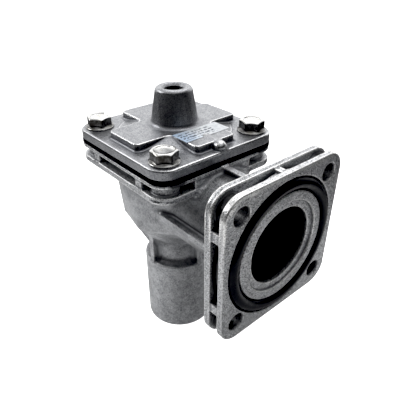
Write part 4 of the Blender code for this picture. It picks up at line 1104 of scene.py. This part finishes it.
class VALVE_OT_stage(bpy.types.Operator):
    """Makes the floor, the lights and the camera."""
    bl_idname = "valve.stage"
    bl_label = "Studio"

    def execute(self, context):
        studio = context.scene.valve_studio
        self.add_floor(rgba(studio.floor))
        self.add_world()
        self.add_lights()
        camera = bpy.data.cameras.new("camera")
        camera.lens = studio.lens
        camera.sensor_width = 36
        holder = bpy.data.objects.new("camera", camera)
        azimuth, rise = math.radians(48.84), math.radians(31.17)
        back = Vector((math.cos(rise) * math.sin(azimuth), -math.cos(rise) * math.cos(azimuth), math.sin(rise)))
        right = Vector((math.cos(azimuth), math.sin(azimuth), 0))
        up = back.cross(right)
        place = Matrix((right, up, back)).transposed().to_4x4()
        place.translation = Vector(to_frame((147.52, -113.73, 74.09)).tolist())
        holder.matrix_world = place
        context.scene.collection.objects.link(holder)
        context.scene.camera = holder
        return {"FINISHED"}

    def add_floor(self, colour):
        """A flat round floor: rings of one height about the valve. It glows in painted pools of light that light the
        castings from below, with a painted shadow under the inlet flange, and it looks white to the camera.
        """
        angle = np.linspace(0, 2 * np.pi, 96, endpoint=False)
        radius = np.array([0, 0.1, 0.3, 0.6, 0.9, 1.2, 1.6, 2.0])
        height = np.zeros(8)
        points = np.stack([
            radius[:, None] * np.cos(angle), radius[:, None] * np.sin(angle), height[:, None] + 0 * angle
        ], -1)
        number = np.arange(points.shape[0] * 96).reshape(-1, 96)
        beside = np.roll(number, -1, 1)
        faces = np.stack([number[:-1], beside[:-1], beside[1:], number[1:]], -1).reshape(-1, 4)
        mesh = bpy.data.meshes.new("floor")
        mesh.from_pydata(points.reshape(-1, 3).tolist(), [], faces.tolist())
        mesh.shade_smooth()
        floor = bpy.data.objects.new("floor", mesh)
        made = bpy.data.materials.new("floor")
        made.use_nodes = True
        tree = made.node_tree
        shader = tree.nodes["Principled BSDF"]
        shader.inputs["Roughness"].default_value = 0.8
        shader.inputs["Emission Color"].default_value = (1, 1, 1, 1)
        seen = tree.nodes.new("ShaderNodeLightPath").outputs["Is Camera Ray"]
        tree.links.new(mixed(tree, seen, (0.04, 0.04, 0.04, 1), colour), shader.inputs["Base Color"])
        split = tree.nodes.new("ShaderNodeSeparateXYZ")
        tree.links.new(tree.nodes.new("ShaderNodeTexCoord").outputs["Object"], split.inputs[0])
        glow = self.pool(tree, split, (0.01, -0.08), 0.13, 0.38, 0.98)
        # Painted shadow: the glow is taken away under the inlet flange.
        glow = maths(tree, "SUBTRACT", glow, self.pool(tree, split, (0.065, 0.0), 0.04, 0.115, 0.7))
        side = self.pool(tree, split, (-0.22, -0.15), 0.06, 0.22, 0.62)
        glow = maths(tree, "MAXIMUM", glow, side)
        strength = maths(tree, "ADD", glow, maths(tree, "MULTIPLY", seen, 0.8))
        tree.links.new(strength, shader.inputs["Emission Strength"])
        mesh.materials.append(made)
        bpy.context.scene.collection.objects.link(floor)
        floor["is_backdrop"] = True

    def pool(self, tree, split, middle, near, far, strength):
        """A round pool of light on the floor: full up to near, none past far, by distance from its middle."""
        x = maths(tree, "SUBTRACT", split.outputs["X"], middle[0])
        y = maths(tree, "SUBTRACT", split.outputs["Y"], middle[1])
        square = maths(tree, "ADD", maths(tree, "MULTIPLY", x, x), maths(tree, "MULTIPLY", y, y))
        return ranged(tree, maths(tree, "SQRT", square), near, far, strength, 0.0)

    def add_world(self):
        """A room that is bright overhead and at the back, and dark on the side the photograph is taken from."""
        world = bpy.data.worlds.new("studio")
        world.use_nodes = True
        tree = world.node_tree
        background = tree.nodes["Background"]
        way = tree.nodes.new("ShaderNodeTexCoord").outputs["Generated"]
        side = tree.nodes.new("ShaderNodeVectorMath")
        side.operation = "DOT_PRODUCT"
        side.inputs[1].default_value = (0.75, -0.66, 0.0)
        tree.links.new(way, side.inputs[0])
        split = tree.nodes.new("ShaderNodeSeparateXYZ")
        tree.links.new(way, split.inputs[0])
        back = ranged(tree, side.outputs["Value"], -0.8, -0.1, 1.6, 0.02)
        high = ranged(tree, split.outputs["Z"], 0.5, 0.9, 0.0, 0.7)
        room = maths(tree, "MAXIMUM", back, high)
        seen = tree.nodes.new("ShaderNodeLightPath").outputs["Is Camera Ray"]
        tree.links.new(maths(tree, "MAXIMUM", room, seen), background.inputs["Strength"])
        background.inputs["Color"].default_value = (1, 1, 1, 1)
        bpy.context.scene.world = world
        view = bpy.context.scene.view_settings
        view.view_transform = "Standard"
        view.use_curve_mapping = True
        view.curve_mapping.black_level = (0.014, 0.014, 0.013)
        view.curve_mapping.update()

    def add_lights(self):
        """Two large soft panels, overhead and on the left."""
        panels = (
            ("panel_top", (-0.1, 0.2, 0.7), 0.55, 1.6),
            ("panel_left", (-0.34, -0.28, 0.36), 0.2, 0.9),
        )
        for name, spot, size, power in panels:
            light = bpy.data.lights.new(name, "AREA")
            light.size = size
            light.energy = power
            holder = bpy.data.objects.new(name, light)
            aim = Vector((0, 0, 0.06)) - Vector(spot)
            holder.rotation_euler = aim.to_track_quat("-Z", "Y").to_euler()
            holder.location = spot
            bpy.context.scene.collection.objects.link(holder)


class VALVE_PT_panel(bpy.types.Panel):
    """Lists the pieces of the valve in the 3D view's sidebar."""
    bl_idname = "VALVE_PT_panel"
    bl_label = "Pulse valve"
    bl_space_type = "VIEW_3D"
    bl_region_type = "UI"
    bl_category = "Valve"

    def draw(self, context):
        scene = context.scene
        for group in (scene.valve_looks, scene.valve_sizes, scene.valve_studio):
            for name in group.__annotations__:
                self.layout.prop(group, name)
        for operator in STEPS:
            self.layout.operator(operator.bl_idname)


STEPS = (
    VALVE_OT_finishes,
    VALVE_OT_body,
    VALVE_OT_cover,
    VALVE_OT_bolts,
    VALVE_OT_ring,
    VALVE_OT_diaphragm,
    VALVE_OT_label,
    VALVE_OT_spring,
    VALVE_OT_closing_set,
    VALVE_OT_threads,
    VALVE_OT_stage,
)
GROUPS = {"valve_looks": ValveLooks, "valve_sizes": ValveSizes, "valve_studio": ValveStudio}


def register():
    for kind in (*GROUPS.values(), *STEPS, VALVE_PT_panel):
        bpy.utils.register_class(kind)
    for name, kind in GROUPS.items():
        setattr(bpy.types.Scene, name, PointerProperty(type=kind))


def unregister():
    for name in GROUPS:
        delattr(bpy.types.Scene, name)
    for kind in reversed((*GROUPS.values(), *STEPS, VALVE_PT_panel)):
        bpy.utils.unregister_class(kind)


def main():
    register()
    bpy.ops.valve.finishes()
    bpy.ops.valve.body()
    bpy.ops.valve.cover()
    bpy.ops.valve.bolts()
    bpy.ops.valve.ring()
    bpy.ops.valve.diaphragm()
    bpy.ops.valve.label()
    bpy.ops.valve.spring()
    bpy.ops.valve.closing_set()
    bpy.ops.valve.threads()
    bpy.ops.valve.stage()
    boxes = {"cad": CAD_BOX, "visual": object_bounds()}
    boxes = {name: [[float(v) for v in corner] for corner in box] for name, box in boxes.items()}


if __name__ == "__main__":
    main()
